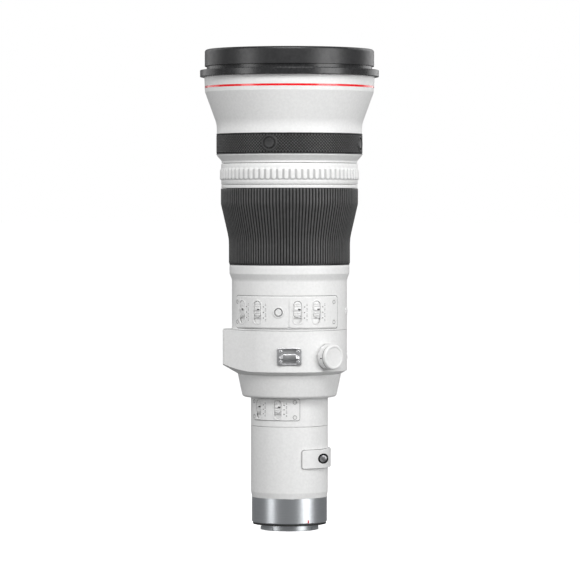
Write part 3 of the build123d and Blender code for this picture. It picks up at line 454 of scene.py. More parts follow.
def black_enamel():
    """Black enamel of the front rim: satin on the hood seat, glossier in the groove and on the flange."""
    material = new_material("black_paint", (0.02, 0.02, 0.021), 0.40)
    mottle(material, 500, (0.016, 0.016, 0.017), (0.024, 0.024, 0.025))
    place = add_node(material, "ShaderNodeTexCoord")
    axes = add_node(material, "ShaderNodeSeparateXYZ")
    wire(material, place, "Object", axes, "Vector")
    seat = cad_high.z - HOOD_SEAT_HEIGHT
    height = ramp(material, axes, seat - 0.4 * MM, seat + 0.1 * MM, 0.26, 0.36, "Z")
    grain = ramp(material, noise(material, 200, 3.0, 0.6), 0.3, 0.7, -0.03, 0.05)
    add_to_roughness(material, height, grain)
    bump(material, 1700, 0.012 * MM, 2.0, bevel=0.3 * MM)
    return material


def paint_shade_in_valleys(material, low, high, valley):
    """Painted shade: fades the base colour to a grey where the mesh's relief attribute is low, in the valleys
    between ribs; returns the fading node.
    """
    height = add_node(material, "ShaderNodeAttribute", attribute_name="relief")
    share = ramp(material, height, low, high, 0.0, 1.0, "Fac")
    colour = shader_of(material).inputs["Base Color"]
    surface = colour.links[0].from_socket
    mix = add_node(material, "ShaderNodeMix", data_type="RGBA")
    mix.inputs["A"].default_value = (*grey(valley), 1)
    wire(material, share, "Result", mix, "Factor")
    material.node_tree.links.new(surface, mix.inputs["B"])
    material.node_tree.links.new(mix.outputs["Result"], colour)
    return share


def relief_rubber():
    """Rubber of the ribs and the knurl: smoother on top and duller in the valleys, with painted shade that
    darkens the valleys so the tops look lighter.
    """
    material = new_material("relief_rubber", grey(0.04), 0.5)
    mottle(material, 260, grey(0.058), grey(0.076))
    # painted shade: the valleys fade to near-black, the rib tops keep the mottled rubber
    share = paint_shade_in_valleys(material, 0.35, 0.95, 0.008)
    grain = ramp(material, noise(material, 520, 3.0, 0.6), 0.3, 0.7, 0.42, 0.56)
    add_to_roughness(material, grain, ramp(material, share, 0.0, 1.0, 0.35, 0.0))
    bump(material, 3200, 0.012 * MM, 3.0)
    return material


def ribbed_enamel():
    """The white enamel of the preset ring, greyed by painted shade in the valleys between its ribs."""
    material = white_enamel("ribbed_enamel")
    # painted shade: the valleys fade to a mid grey
    paint_shade_in_valleys(material, 0.0, 0.8, 0.50)
    return material


def anodised():
    """Matt black anodised metal of the cells and the chassis inside."""
    material = new_material("black_metal", (0.02, 0.02, 0.021), 0.5, 0.4)
    vary_roughness(material, 300, 0.45, 0.6)
    bump(material, 2400, 0.01 * MM, 2.0)
    return material


def red_enamel():
    """Glossy red enamel of the accent ring."""
    colours = (350, (0.78, 0.004, 0.01), (0.86, 0.006, 0.014))
    material = coating("red_paint", colours, (150, 0.2, 0.3), (1500, 0.008, 2.0, 0.15))
    return set_gloss(material, Coat_Weight=0.6, Coat_Roughness=0.06)


def index_red():
    """Matt red of the printed mount index."""
    colours = (700, (0.55, 0.012, 0.016), (0.66, 0.018, 0.024))
    material = coating("index_red", colours, (500, 0.55, 0.7), (2500, 0.008, 2.0, 0.0))
    return set_gloss(material, Specular_IOR_Level=0.25)


def turned_metal():
    """Satin metal of the mount, turned on a lathe: its fine lines run round the axis."""
    colours = (90, (0.53, 0.55, 0.57), (0.61, 0.63, 0.65))
    return coating("mount_metal", colours, (70, 0.33, 0.39), (110, 0.006, 2.0, 0.2), 1.0, (1, 1, 60))


def polished_metal(name, colour, low, high):
    """Plated metal with a soft polish and hairline scratches."""
    material = new_material(name, colour, (low + high) / 2, 1.0)
    mottle(material, 150, [0.92 * part for part in colour], [min(1.0, 1.06 * part) for part in colour])
    vary_roughness(material, 260, low, high, (1, 6, 1))
    bump(material, 900, 0.0015 * MM, 2.0, (1, 5, 1), bevel=0.2 * MM)
    return material


def gold_plate():
    material = new_material("contact_gold", (0.83, 0.60, 0.24), 0.25, 1.0)
    vary_roughness(material, 1500, 0.18, 0.34)
    bump(material, 3000, 0.004 * MM)
    return material


def coated_glass():
    """Optical glass with an anti-reflection coating that tints the reflections."""
    material = new_material("lens_glass", (1, 1, 1), 0.02)
    set_gloss(material, Transmission_Weight=1.0, IOR=1.5, Specular_IOR_Level=0.3, Coat_Weight=0.25)
    set_gloss(material, Specular_Tint=(0.45, 0.75, 0.62, 1), Coat_Tint=(0.85, 0.9, 1.0, 1))
    vary_roughness(material, 60, 0.0, 0.03)
    mottle(material, 25, (0.90, 0.96, 0.94), (0.97, 0.97, 1.0))
    return material


def film(name, roughness, colours, relief):
    """Thin layer with mottled colour and a fine relief, such as ink."""
    material = new_material(name, colours[2], roughness)
    mottle(material, *colours)
    bump(material, *relief)
    return material


HOOD_SEAT_HEIGHT = 15.4 * MM

MATERIALS = {
    "white_paint": white_enamel("white_paint"),
    "ribbed_enamel": ribbed_enamel(),
    # moulded plastic of the knobs and the switches, a little smoother than the enamel
    "white_plastic": coating(
        "white_plastic",
        (300, (0.775, 0.775, 0.77), (0.815, 0.815, 0.81)),
        (240, 0.32, 0.44),
        (1300, 0.02, 2.0, 0.25),
    ),
    # moulded plastic of the focus-stop buttons and inner parts
    "black_plastic": coating(
        "black_plastic",
        (420, (0.024, 0.024, 0.025), grey(0.034)),
        (420, 0.4, 0.52),
        (2100, 0.015, 2.0, 0.2),
    ),
    # smooth rubber of the grip's edges and the button rings
    "grip_rubber": coating(
        "grip_rubber",
        (260, (0.026, 0.026, 0.027), grey(0.040)),
        (520, 0.40, 0.55),
        (3200, 0.015, 3.0, 0.0),
    ),
    # near-black rubber of the mount seal, darker than the grips; in the filter buttons' wells the same
    # near-black is painted shade of the deep recess
    "seal_rubber_and_well_shade": coating(
        "seal_rubber_and_well_shade", (400, grey(0.008), grey(0.014)), (500, 0.55, 0.7), (2500, 0.01, 2.0, 0.0)
    ),
    # painted shade: a grey for the shaded seams round the panels, the gaps round the screws, the set button's
    # moat and the lock knob's groove
    "painted_shade_grey": coating("painted_shade_grey", (400, grey(0.19), grey(0.26)), (500, 0.5, 0.7), (2500, 0.01, 2.0, 0.0)),
    "relief_rubber": relief_rubber(),
    "black_paint": black_enamel(),
    "black_metal": anodised(),
    "red_paint": red_enamel(),
    "index_red": index_red(),
    "printed_ink": film("printed_ink", 0.5, (900, grey(0.024), grey(0.05)), (2600, 0.01 * MM)),
    "mount_metal": turned_metal(),
    "lug_metal": polished_metal("lug_metal", (0.60, 0.60, 0.61), 0.36, 0.46),
    "screw_metal": polished_metal("screw_metal", (0.52, 0.52, 0.53), 0.30, 0.42),
    "button_metal": polished_metal("button_metal", (0.36, 0.36, 0.37), 0.30, 0.42),
    "contact_gold": gold_plate(),
    "lens_glass": coated_glass(),
    # solder mask over copper traces
    "board_green": film(
        "board_green", 0.4, (500, (0.015, 0.09, 0.035), (0.025, 0.15, 0.06)), (900, 0.03 * MM, 1.0)
    ),
}


def dress_cad_nodes():
    """Gives each CAD node that stays visible the detailed material of its slot."""
    for node in frame["nodes"].values():
        for entry in node.material_slots:
            entry.material = MATERIALS[entry.material.name.split(".")[0]]
    frame["nodes"]["mount_seal"].material_slots[0].material = MATERIALS["seal_rubber_and_well_shade"]


# ---------------------------------------------------------------- camera, light and floor

CAMERA_DISTANCE = 3.082
CAMERA_HEIGHT = 0.2932
CAMERA_OFFSET = 0.00052
CAMERA_PITCH = radians(-1.39)
FOCAL_LENGTH = 209.7
SENSOR_WIDTH = 36.0


def make_camera():
    data = bpy.data.cameras.new("camera")
    data.lens = FOCAL_LENGTH
    data.sensor_width = SENSOR_WIDTH
    data.clip_end = 200
    camera = bpy.data.objects.new("camera", data)
    camera.location = (CAMERA_OFFSET, -CAMERA_DISTANCE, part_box("bayonet")[0].z + CAMERA_HEIGHT)
    camera.rotation_euler = (pi / 2 + CAMERA_PITCH, 0, 0)
    bpy.context.scene.collection.objects.link(camera)
    bpy.context.scene.camera = camera


SIDE_BOX_HEIGHT = 0.53
BACK_BOX_HEIGHT = 0.55
FRONT_BOX_HEIGHT = 0.45 * cad_high.z
# two tall boxes at the sides, a soft one high in front and two fainter ones behind; each has a name,
# azimuth and elevation in degrees, distance, size, power and the height that it points at
SOFTBOXES = [
    ("softbox_left", -57, 0, 1.6, (0.50, 1.32), 8.2, SIDE_BOX_HEIGHT),
    ("softbox_right", 53, 0, 1.6, (0.85, 1.32), 17.0, SIDE_BOX_HEIGHT),
    ("softbox_front", 0, 42, 1.7, (0.9, 0.7), 17.5, FRONT_BOX_HEIGHT),
    ("softbox_back_left", -128, 14, 1.7, (1.2, 1.2), 5.0, BACK_BOX_HEIGHT),
    ("softbox_back_right", 140, 14, 1.7, (1.2, 1.2), 7.0, BACK_BOX_HEIGHT),
]


def softbox(name, azimuth, elevation, distance, size, power, height):
    """Rectangular light turned to a point on the axis; the azimuth is an angle round the lens."""
    data = bpy.data.lights.new(name, "AREA")
    data.shape = "RECTANGLE"
    data.size, data.size_y = size
    data.energy = power
    light = bpy.data.objects.new(name, data)
    aim = Vector((0, 0, height))
    rise = radians(elevation)
    towards = outward(radians(azimuth)) * cos(rise) + Vector((0, 0, sin(rise)))
    light.location = aim + towards * distance
    light.rotation_euler = (-towards).to_track_quat("-Z", "Y").to_euler()
    light.visible_camera = False
    bpy.context.scene.collection.objects.link(light)


def split_by_ray(tree, light, picture, output):
    """Shows one shader to the camera and another to every other ray."""
    path = tree.nodes.new("ShaderNodeLightPath")
    mix = tree.nodes.new("ShaderNodeMixShader")
    tree.links.new(path.outputs["Is Camera Ray"], mix.inputs[0])
    tree.links.new(light.outputs[0], mix.inputs[1])
    tree.links.new(picture.outputs[0], mix.inputs[2])
    tree.links.new(mix.outputs[0], tree.nodes[output].inputs["Surface"])


def make_world():
    """White to the camera, a softer grey as light."""
    world = bpy.data.worlds.new("studio")
    world.use_nodes = True
    sky = world.node_tree.nodes["Background"]
    seen = world.node_tree.nodes.new("ShaderNodeBackground")
    for shader, colour, strength in ((seen, grey(1.0), 1.0), (sky, (0.98, 0.99, 1.0), 0.23)):
        shader.inputs["Color"].default_value = (*colour, 1)
        shader.inputs["Strength"].default_value = strength
    split_by_ray(world.node_tree, sky, seen, "World Output")
    bpy.context.scene.world = world
    bpy.context.scene.view_settings.view_transform = "Standard"


def floor_material():
    """Pale floor that looks white in the picture and lights the lens from below only a little."""
    material = new_material("floor", grey(0.93), 0.9)
    mottle(material, 3, grey(0.925), grey(0.935))
    shader = shader_of(material)
    set_gloss(material, Emission_Color=(1, 1, 1, 1), Emission_Strength=0.82)
    dim = add_node(material, "ShaderNodeBsdfDiffuse", Color=(0.22, 0.22, 0.22, 1))
    split_by_ray(material.node_tree, dim, shader, "Material Output")
    return material


FLOOR_HALF_WIDTH = 60.0


def make_floor():
    """Large pale floor level with the lowest edge of the bayonet."""
    half = FLOOR_HALF_WIDTH
    bm = bmesh.new()
    corners = [(-half, -half), (half, -half), (half, half), (-half, half)]
    bm.faces.new([bm.verts.new((x, y, cad_low.z)) for x, y in corners])
    mesh = bpy.data.meshes.new("floor")
    bm.to_mesh(mesh)
    bm.free()
    floor_plane = bpy.data.objects.new("floor", mesh)
    bpy.context.scene.collection.objects.link(floor_plane)
    mesh.materials.append(floor_material())
    floor_plane.visible_glossy = False


# ---------------------------------------------------------------- the turning rings

FOCUS_RIBS = 130
FOCUS_RIB_DEPTH = 0.95 * MM
FOCUS_RIB_SHAPE = (0.42, 0.22)
FOCUS_POINTS_PER_RIB = 8
FOCUS_ROWS = 34
# rows of the outside that the inner wall follows, from the top down
FOCUS_INNER_ROWS = (-2, 25, 12, 1)
FOCUS_EDGE = 0.35 * MM
RUBBER_WALL = 1.5 * MM


def ridge(phase, flat, slope):
    """Height from 0 to 1 of a rounded rib across one pitch, with a flat top and sloped sides."""
    away = abs(phase - floor(phase) - 0.5)
    share = min(1.0, max(0.0, (flat / 2 + slope - away) / slope))
    return share * share * (3 - 2 * share)


def mark_relief(piece, height_of):
    """Stores on each vertex how high it stands in the relief, from 0 to 1."""
    relief = piece.data.attributes.new("relief", "FLOAT", "POINT")
    for vertex in piece.data.vertices:
        relief.data[vertex.index].value = height_of(vertex.co)


def make_focus_rubber():
    """Rubber sleeve of the focus ring, with fine ribs along its whole length."""
    low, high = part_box("focus_rubber")
    start, end = low.z + FOCUS_EDGE, high.z - FOCUS_EDGE
    heights = [low.z + 0.01 * MM]
    heights += [start + (end - start) * row / FOCUS_ROWS for row in range(FOCUS_ROWS)]
    heights += [end, high.z - 0.01 * MM]
    outer = [(outer_radius("focus_rubber", height), height) for height in heights]
    inner = [(outer[row][0] - RUBBER_WALL, outer[row][1]) for row in FOCUS_INNER_ROWS]
    inner[0] = (inner[0][0], heights[-1])
    inner[-1] = (inner[-1][0], heights[0])
    outside = {height: radius for radius, height in outer}

    def rise(angle):
        return ridge(angle * FOCUS_RIBS / (2 * pi), *FOCUS_RIB_SHAPE)

    def ribs(angle, radius, height):
        if radius < outside.get(height, 1.0) - 0.5 * RUBBER_WALL:
            return radius
        return radius - FOCUS_RIB_DEPTH * (1 - rise(angle))

    bm = turned(outer + inner, FOCUS_RIBS * FOCUS_POINTS_PER_RIB, ribs)
    sleeve = finish_piece("focus_ring_rubber", bm, "focus_ring", "relief_rubber", ["focus_rubber"], 40)
    mark_relief(sleeve, lambda point: rise(atan2(point.x, -point.y)))


PRESET_RIBS = 70
PRESET_POINTS_PER_RIB = 12
PRESET_BASE_RISE = 0.13 * MM
PRESET_WALL = 4.4 * MM
PRESET_EDGE = 0.5 * MM
PRESET_BELT_MARGINS = (4.3 * MM, 4.2 * MM)
PRESET_BELT_ROWS = 22
PRESET_RIB_HALF = 0.36
PRESET_RIB_SLOPE = 0.8 * MM
PRESET_RIB_FADE = 3.2 * MM


def make_preset_ring():
    """Preset ring with a belt of wide ribs whose lower ends are round and upper ends run out."""
    low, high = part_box("preset_ring")
    base = half_width("ring_divider") + PRESET_BASE_RISE
    top = half_width("preset_ring")
    rib_low, rib_high = low.z + PRESET_BELT_MARGINS[0], high.z - PRESET_BELT_MARGINS[1]
    pitch = 2 * pi * base / PRESET_RIBS
    inner = base - PRESET_WALL
    start, end = rib_low - 0.4 * MM, rib_high
    levels = [low.z + PRESET_EDGE, rib_low - 0.9 * MM]
    for row in range(PRESET_BELT_ROWS + 1):
        levels.append(start + (end - start) * row / PRESET_BELT_ROWS)
    levels += [rib_high + 1.2 * MM, high.z - PRESET_EDGE]
    outline = [(inner, high.z), (inner, low.z), (base - PRESET_EDGE, low.z)]
    outline += [(base, level) for level in levels] + [(base - PRESET_EDGE, high.z)]

    def rib(angle, height):
        across = abs((angle * PRESET_RIBS / (2 * pi)) % 1 - 0.5) * pitch
        half = PRESET_RIB_HALF * pitch
        below = max(0.0, rib_low + half - height)
        to_edge = half - hypot(across, below)
        rise = min(1.0, max(0.0, to_edge / PRESET_RIB_SLOPE))
        fade = min(1.0, max(0.0, (rib_high - height) / PRESET_RIB_FADE))
        return rise * (2 - rise) * fade * (2 - fade)

    def belt(angle, radius, height):
        return radius if radius < base else radius + (top - base) * rib(angle, height)

    def relief(point):
        inside_belt = rib_low - 0.2 * MM < point.z < rib_high - 1.0 * MM
        return rib(atan2(point.x, -point.y), point.z) if inside_belt else 1.0

    bm = turned(outline, PRESET_RIBS * PRESET_POINTS_PER_RIB, belt)
    ring = finish_piece("preset_ring_ribbed", bm, "preset_ring", "ribbed_enamel", ["preset_ring"], 50)
    mark_relief(ring, relief)


# ---------------------------------------------------------------- front grip and its four buttons

GRIP_PITCH = 2.9 * MM
KNURL_DEPTH = 0.7 * MM
KNURL_TOP_SHARE = 0.60
GRIP_EDGE = 0.9 * MM
GRIP_WALL = 1.5 * MM
BUTTON_GAP = 0.15 * MM
STOP_BUTTON_R = 4.35 * MM
STOP_MOAT_R = 5.75 * MM
STOP_RIDGE_R = 7.4 * MM
STOP_RIDGE_RISE = 0.48 * MM
STOP_MOAT_DEPTH = 0.9 * MM


def near_button(angle, height, angles, button_height, radius, reach):
    """Whether a point of the grip lies within reach of a button's centre."""
    for centre in angles:
        turn = (angle - centre + pi) % (2 * pi) - pi
        if hypot(turn * radius, height - button_height) < reach:
            return True
    return False


def diamond(skin, vertices, column, row, columns, rows, ground, peak, spot):
    """Adds one knurl diamond to a skin: four sloped sides and a flat top, or a plain half at an edge."""
    around = [(column - 1, row), (column, row - 1), (column + 1, row), (column, row + 1)]
    around = [place for place in around if 0 <= place[1] <= rows]
    corners = []
    for side, level in around:
        key = (side % columns, level)
        if key not in vertices:
            vertices[key] = skin.verts.new(spot(side, level, ground))
        corners.append(vertices[key])
    if len(corners) == 3 or peak == ground:
        skin.faces.new(corners)
        return
    share = KNURL_TOP_SHARE
    top = []
    for side, level in around:
        raised = (column + (side - column) * share, row + (level - row) * share)
        top.append(skin.verts.new(spot(*raised, peak)))
    for index in range(4):
        after = (index + 1) % 4
        skin.faces.new((corners[index], corners[after], top[after], top[index]))
    skin.faces.new(top)


def wall_between(bm, outer, inner):
    """Closes the space between two skins along their borders; equal keys name facing corners."""
    keys = {vertex: key for key, vertex in outer.items()}
    border = [edge for edge in bm.edges if len(edge.link_faces) == 1 and edge.verts[0] in keys]
    for edge in border:
        first, second = (keys[vertex] for vertex in edge.verts)
        bm.faces.new((outer[first], outer[second], inner[second], inner[first]))


def make_front_grip():
    """Knurled rubber band: raised diamonds with flat tops between two plain edges."""
    low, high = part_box("front_grip")
    radius = outer_radius("front_grip", high.z - 1 * MM)
    inner = radius - GRIP_WALL
    angles = [press_angle(f"stop_press_{number}") for number in range(1, 5)]
    button_height = (low.z + high.z) / 2
    columns = 2 * round(2 * pi * radius / GRIP_PITCH)
    rows = 2 * round((high.z - low.z - 2 * GRIP_EDGE) / GRIP_PITCH)
    step = (high.z - low.z - 2 * GRIP_EDGE) / rows

    def spot(column, row, reach):
        direction = outward(2 * pi * column / columns)
        return direction * reach + Vector((0, 0, low.z + GRIP_EDGE + step * row))

    def kept(column, row):
        height = low.z + GRIP_EDGE + step * row
        angle = 2 * pi * column / columns
        return not near_button(angle, height, angles, button_height, radius, STOP_RIDGE_R - 0.4 * MM)

    bm = bmesh.new()
    skins = []
    for ground, peak in ((radius - KNURL_DEPTH, radius - 0.02 * MM), (inner, inner)):
        vertices = {}
        for row in range(rows + 1):
            for column in range(columns):
                if (row + column) % 2 == 1 and kept(column, row):
                    diamond(bm, vertices, column, row, columns, rows, ground, peak, spot)
        skins.append(vertices)
    wall_between(bm, *skins)
    knurl = finish_piece("front_grip_knurl", bm, "barrel", "relief_rubber", ["front_grip"], sharp=12)
    mark_relief(knurl, lambda point: (hypot(point.x, point.y) - radius + KNURL_DEPTH) / KNURL_DEPTH)
    for side, (start, end) in enumerate(((low.z, low.z + GRIP_EDGE), (high.z - GRIP_EDGE, high.z))):
        outline = [(inner, start), (radius, start, 0.3 * MM), (radius, end, 0.3 * MM), (inner, end)]
        hem = turned(rounded(outline), 256)
        finish_piece(f"front_grip_edge_{side + 1}", hem, "barrel", "grip_rubber")
    for number, angle in enumerate(angles, 1):
        place = side_frame(angle, button_height)
        surround = button_surround(radius, place)
        finish_piece(f"stop_button_ring_{number}", surround, "barrel", "grip_rubber")
        node = f"stop_button_{number}"
        cap = button_cap(radius, place)
        finish_piece(f"stop_button_cap_{number}", cap, node, "black_plastic", [node])


def button_surround(radius, place):
    """Raised ring round a focus-stop button, with a deep moat inside it."""
    ridge_top = radius + STOP_RIDGE_RISE
    foot = radius - GRIP_WALL
    outline = [
        (STOP_RIDGE_R + 0.5 * MM, foot),
        (STOP_RIDGE_R + 0.1 * MM, radius - 0.2 * MM, 0.2 * MM),
        (STOP_RIDGE_R - 0.35 * MM, ridge_top, 0.3 * MM),
        (STOP_MOAT_R + 0.15 * MM, ridge_top, 0.3 * MM),
        (STOP_MOAT_R, radius - STOP_MOAT_DEPTH),
        (STOP_BUTTON_R + BUTTON_GAP, radius - STOP_MOAT_DEPTH),
        (STOP_BUTTON_R + BUTTON_GAP, foot),
    ]
    return turned(rounded(outline), 96, place=place)


def button_cap(radius, place):
    """Focus-stop button with a rounded edge and a shallow dish."""
    top = radius + STOP_RIDGE_RISE
    foot = radius - 3.0 * MM
    outline = [(0, foot), (STOP_BUTTON_R, foot), (STOP_BUTTON_R, top, 0.5 * MM)]
    outline += [(STOP_BUTTON_R - 1.1 * MM, top - 0.05 * MM, 0.4 * MM)]
    outline += [(STOP_BUTTON_R - 2.0 * MM, top - 0.22 * MM, 0.6 * MM), (0, top - 0.3 * MM)]
    return turned(rounded(outline), 72, place=place)


# ---------------------------------------------------------------- switch panels

SWITCHES = [f"switch_knob_{number}" for number in range(1, 7)]
UPPER_SWITCHES = 4
UPPER_SLOT = (7.6 * MM, 20.3 * MM, 14.3 * MM)
LOWER_SLOT = (6.7 * MM, 17.0 * MM, 11.6 * MM)
SLOT_SIDE_GAP = 0.3 * MM
# place along the slider as a share of its length, thickness and rise in millimetres
SLIDER_RIBS = [(0, 1.9, 0.65), (0.22, 0.9, 0.2), (-0.22, 0.9, 0.2), (0.34, 0.9, 0.12), (-0.34, 0.9, 0.12)]
# how far the switches' printed positions lie apart, in millimetres
UPPER_SPREAD, LOWER_SPREAD = 5.0, 4.0
# painted shadow: a grey bead round each panel's shaded seam; each entry lists the panels, the node under them
# and the gap
PANEL_SHADE_LINES = {
    "upper_panel_shade_line": (["switch_panel_left", "switch_panel_right"], "main_barrel", 1.15 * MM),
    "lower_panel_shade_line": (["switch_panel_lower"], "switch_housing", 0.25 * MM),
}
PANEL_CORNER = 2.0 * MM
SHADE_LINE_WIDTH = 0.6 * MM
SHADE_LINE_RISE = 0.16 * MM
SHADE_LINE_STEP = 1.5 * MM
BEAD_SINK = 0.3 * MM
SCREW_GAP_SHADE_R = 1.45 * MM
SET_BUTTON_R = 3.0 * MM
SET_MOAT_R = 4.0 * MM
SET_RIDGE_R = 4.9 * MM


def bent(loops, angle, height):
    """Solid through loops of (points, radius), bent round the lens at this angle and height."""
    radius = loops[-1][1]
    return stacked([(points, level - radius) for points, level in loops], None, radius, angle, height)


def obround(width, length):
    """Slot outline with round ends, longer along y, anticlockwise."""
    return box_outline(width, length, width / 2 - 1e-7, 10)


def shifted(points, x, y=0.0):
    return [point + Vector((x, y)) for point in points]


def panel_span(panel):
    """First and last angle of a panel round the lens."""
    angles = [atan2(vertex.co.x, -vertex.co.y) for vertex in frame["nodes"][panel].data.vertices]
    return min(angles), max(angles)


def panel_face(panel):
    """Radius of a panel's outer face, read near its lower edge, clear of the slots."""
    first, last = panel_span(panel)
    return outer_radius(panel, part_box(panel)[0].z + 1.5 * MM, (first + last) / 2)


def make_panel_shade_line(name, panels, under, gap):
    """Thin grey bead round the foot of one or two panels, on the node under them: a painted shadow line for
    the shaded seam there.
    """
    low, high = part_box(panels[0])
    first, last = panel_span(panels[0])[0], panel_span(panels[-1])[1]
    foot = outer_radius(under, low.z - 1.2 * MM)
    outline = box_outline((last - first) * foot + 2 * gap, high.z - low.z + 2 * gap, PANEL_CORNER + gap)
    path = dense(outline, SHADE_LINE_STEP)
    line = bead(path, SHADE_LINE_WIDTH, SHADE_LINE_RISE, BEAD_SINK, foot, (first + last) / 2, (low.z + high.z) / 2)
    finish_piece(name, line, "barrel", "painted_shade_grey", sharp=60)


def groups(node, reach):
    """Centres, as angle and height, of the separate small parts of a CAD node."""
    found = []
    for vertex in frame["nodes"][node].data.vertices:
        near = [group for group in found if (group[0] - vertex.co).length < reach]
        if near:
            near[0].append(vertex.co)
        else:
            found.append([vertex.co])
    centres = [sum(group, Vector()) / len(group) for group in found]
    return [(atan2(centre.x, -centre.y), centre.z) for centre in centres]


def make_panel_screw_gap_shades():
    """Grey ring round the head of each panel screw: painted shade of the gap round it."""
    top_of_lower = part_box("switch_panel_lower")[1].z
    for number, (angle, height) in enumerate(groups("panel_screws", 5 * MM), 1):
        face = panel_face("switch_panel_left" if height > top_of_lower else "switch_panel_lower")
        place = side_frame(angle, height)
        # painted shade: a grey ring where the gap round the head lies
        rim = ring_section(SCREW_GAP_SHADE_R, SCREW_GAP_SHADE_R + 0.4 * MM, face - 0.3 * MM, face + 0.06 * MM)
        finish_piece(f"panel_screw_gap_shade_{number}", turned(rim, 40, place=place), "barrel", "painted_shade_grey")


def slider(angle, centre, face, width, length):
    """Slider seen through its slot: a rounded body with a ridge across it and finer ribs at its ends."""
    base = face - 1.0 * MM
    body = pillow(obround(width, length), base, face - 0.15 * MM, 0.45 * MM)
    foot = box_outline(width + 1.6 * MM, length + 1.6 * MM, 1 * MM)
    skirt = pillow(foot, base - 0.5 * MM, base + 0.02 * MM, 0.1 * MM)
    parts = [bent(body, angle, centre), bent(skirt, angle, centre)]
    for place, thickness, rise in SLIDER_RIBS:
        bar = box_outline(width - 1.2 * MM, thickness * MM, 0.4 * MM, 3)
        parts.append(bent(pillow(bar, base, face + rise * MM, 0.22 * MM), angle, centre + place * length))
    return join(*parts)


def make_switch(node):
    """Slider with an ink index, the floor of its slot, the bead round the slot and the printed marks."""
    upper = int(node[-1]) <= UPPER_SWITCHES
    slot_width, slot_length, length = UPPER_SLOT if upper else LOWER_SLOT
    panel = "switch_panel_left" if upper else "switch_panel_lower"
    low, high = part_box(panel)
    middle_height = (low.z + high.z) / 2
    angle, _ = tip(node)
    face = panel_face(panel)
    centre = middle_height + (slot_length - length) / 2 - SLOT_SIDE_GAP
    body = slider(angle, centre, face, slot_width - 2 * SLOT_SIDE_GAP, length)
    finish_piece(f"{node}_slider", body, node, "white_plastic", [node], sharp=35)

    ink = shifted(box_outline(2.4 * MM, 1.2 * MM, 0.1 * MM, 2), 1.5 * MM)
    mark = pillow(ink, face + 0.4 * MM, face + 0.70 * MM, 0.04 * MM, 1)
    finish_piece(f"{node}_index", bent(mark, angle, centre), node, "printed_ink")

    floor_outline = box_outline(slot_width + 1.2 * MM, slot_length + 1.2 * MM, 1 * MM)
    slot_floor = pillow(floor_outline, face - 2.7 * MM, face - 1.75 * MM, 0.1 * MM, 1)
    finish_piece(f"{node}_slot_floor", bent(slot_floor, angle, middle_height), "barrel", "white_plastic")

    path = obround(slot_width + 1.3 * MM, slot_length + 1.3 * MM)
    rim = bead(path, 1.1 * MM, 0.3 * MM, 0.25 * MM, face, angle, middle_height)
    finish_piece(f"{node}_slot_bead", rim, "barrel", "white_paint", sharp=60)
    make_position_marks(f"{node}_positions", face, angle, middle_height, slot_width, upper)


def make_position_marks(name, face, angle, height, slot_width, upper):
    """Printed marks beside a switch: a dot for each position and a row of fine ticks beyond them."""
    spread = UPPER_SPREAD if upper else LOWER_SPREAD
    near = slot_width / 2 + 2.6 * MM
    marks = [(near, step * spread, 0.9, 0.9) for step in (-1, 0, 1)]
    marks += [(near + 2.3 * MM, step * spread / 4, 1.1, 0.35) for step in range(-6, 7) if step % 4 != 0]
    parts = []
    for x, y, width, length in marks:
        outline = shifted(box_outline(width * MM, length * MM, 0.16 * MM, 2), x, y * MM)
        parts.append(bent([(outline, face - 0.2 * MM), (outline, face + 0.03 * MM)], angle, height))
    finish_piece(name, join(*parts), "barrel", "printed_ink")


def make_set_button():
    """Push button with a dished face, in a raised collar; the dark ring of the moat round it is painted
    shade.
    """
    angle = press_angle("set_press")
    face = panel_face("switch_panel_left")
    place = side_frame(angle, middle("set_button").z)
    top = reach_along("set_button", angle)
    foot = top - 2.6 * MM
    cap = [(0, foot), (SET_BUTTON_R, foot), (SET_BUTTON_R, top, 0.5 * MM)]
    cap += [(SET_BUTTON_R - 0.9 * MM, top - 0.02 * MM, 0.4 * MM), (0, top - 0.25 * MM)]
    button = turned(rounded(cap), 64, place=place)
    finish_piece("set_button_cap", button, "set_button", "white_plastic", ["set_button"])
    gap = SET_BUTTON_R + BUTTON_GAP
    # painted shade: a grey lining in the moat round the button
    moat_shade = ring_section(gap, SET_MOAT_R, face - 1.6 * MM, face + 0.12 * MM, face - 0.1 * MM)
    finish_piece("set_button_moat_shade", turned(moat_shade, 64, place=place), "barrel", "painted_shade_grey")
    low, high = face - 0.5 * MM, face + 0.45 * MM
    collar = [(SET_MOAT_R, low), (SET_RIDGE_R + 0.1 * MM, low)]
    collar += [(SET_RIDGE_R, high, 0.3 * MM), (SET_MOAT_R, high, 0.3 * MM)]
    finish_piece("set_button_collar", turned(rounded(collar), 64, place=place), "barrel", "white_paint")


# ---------------------------------------------------------------- fittings on the collar

LUG_WIDTH = 22.6 * MM
LUG_HEIGHT = 16.0 * MM
LUG_CORNER = 3.0 * MM
LUG_PLATE_DEPTH = 2.6 * MM
LUG_WINDOW = (12.6 * MM, 13.2 * MM)
LUG_SCREW_X = 7.9 * MM
LUG_SCREW_Z = 4.6 * MM
BAR_ABOVE_PLATE = 2.1 * MM
BAR_HALF = 9.0 * MM
BAR_STRAIGHT = 5.8 * MM
BAR_HEIGHT = 5.2 * MM
LUG_SCREW_R = 1.55 * MM
SCREW_DOME_SHARE = 0.62
CROSS_HALF_WIDTH = 0.26 * MM
CROSS_DEPTH = 0.35 * MM


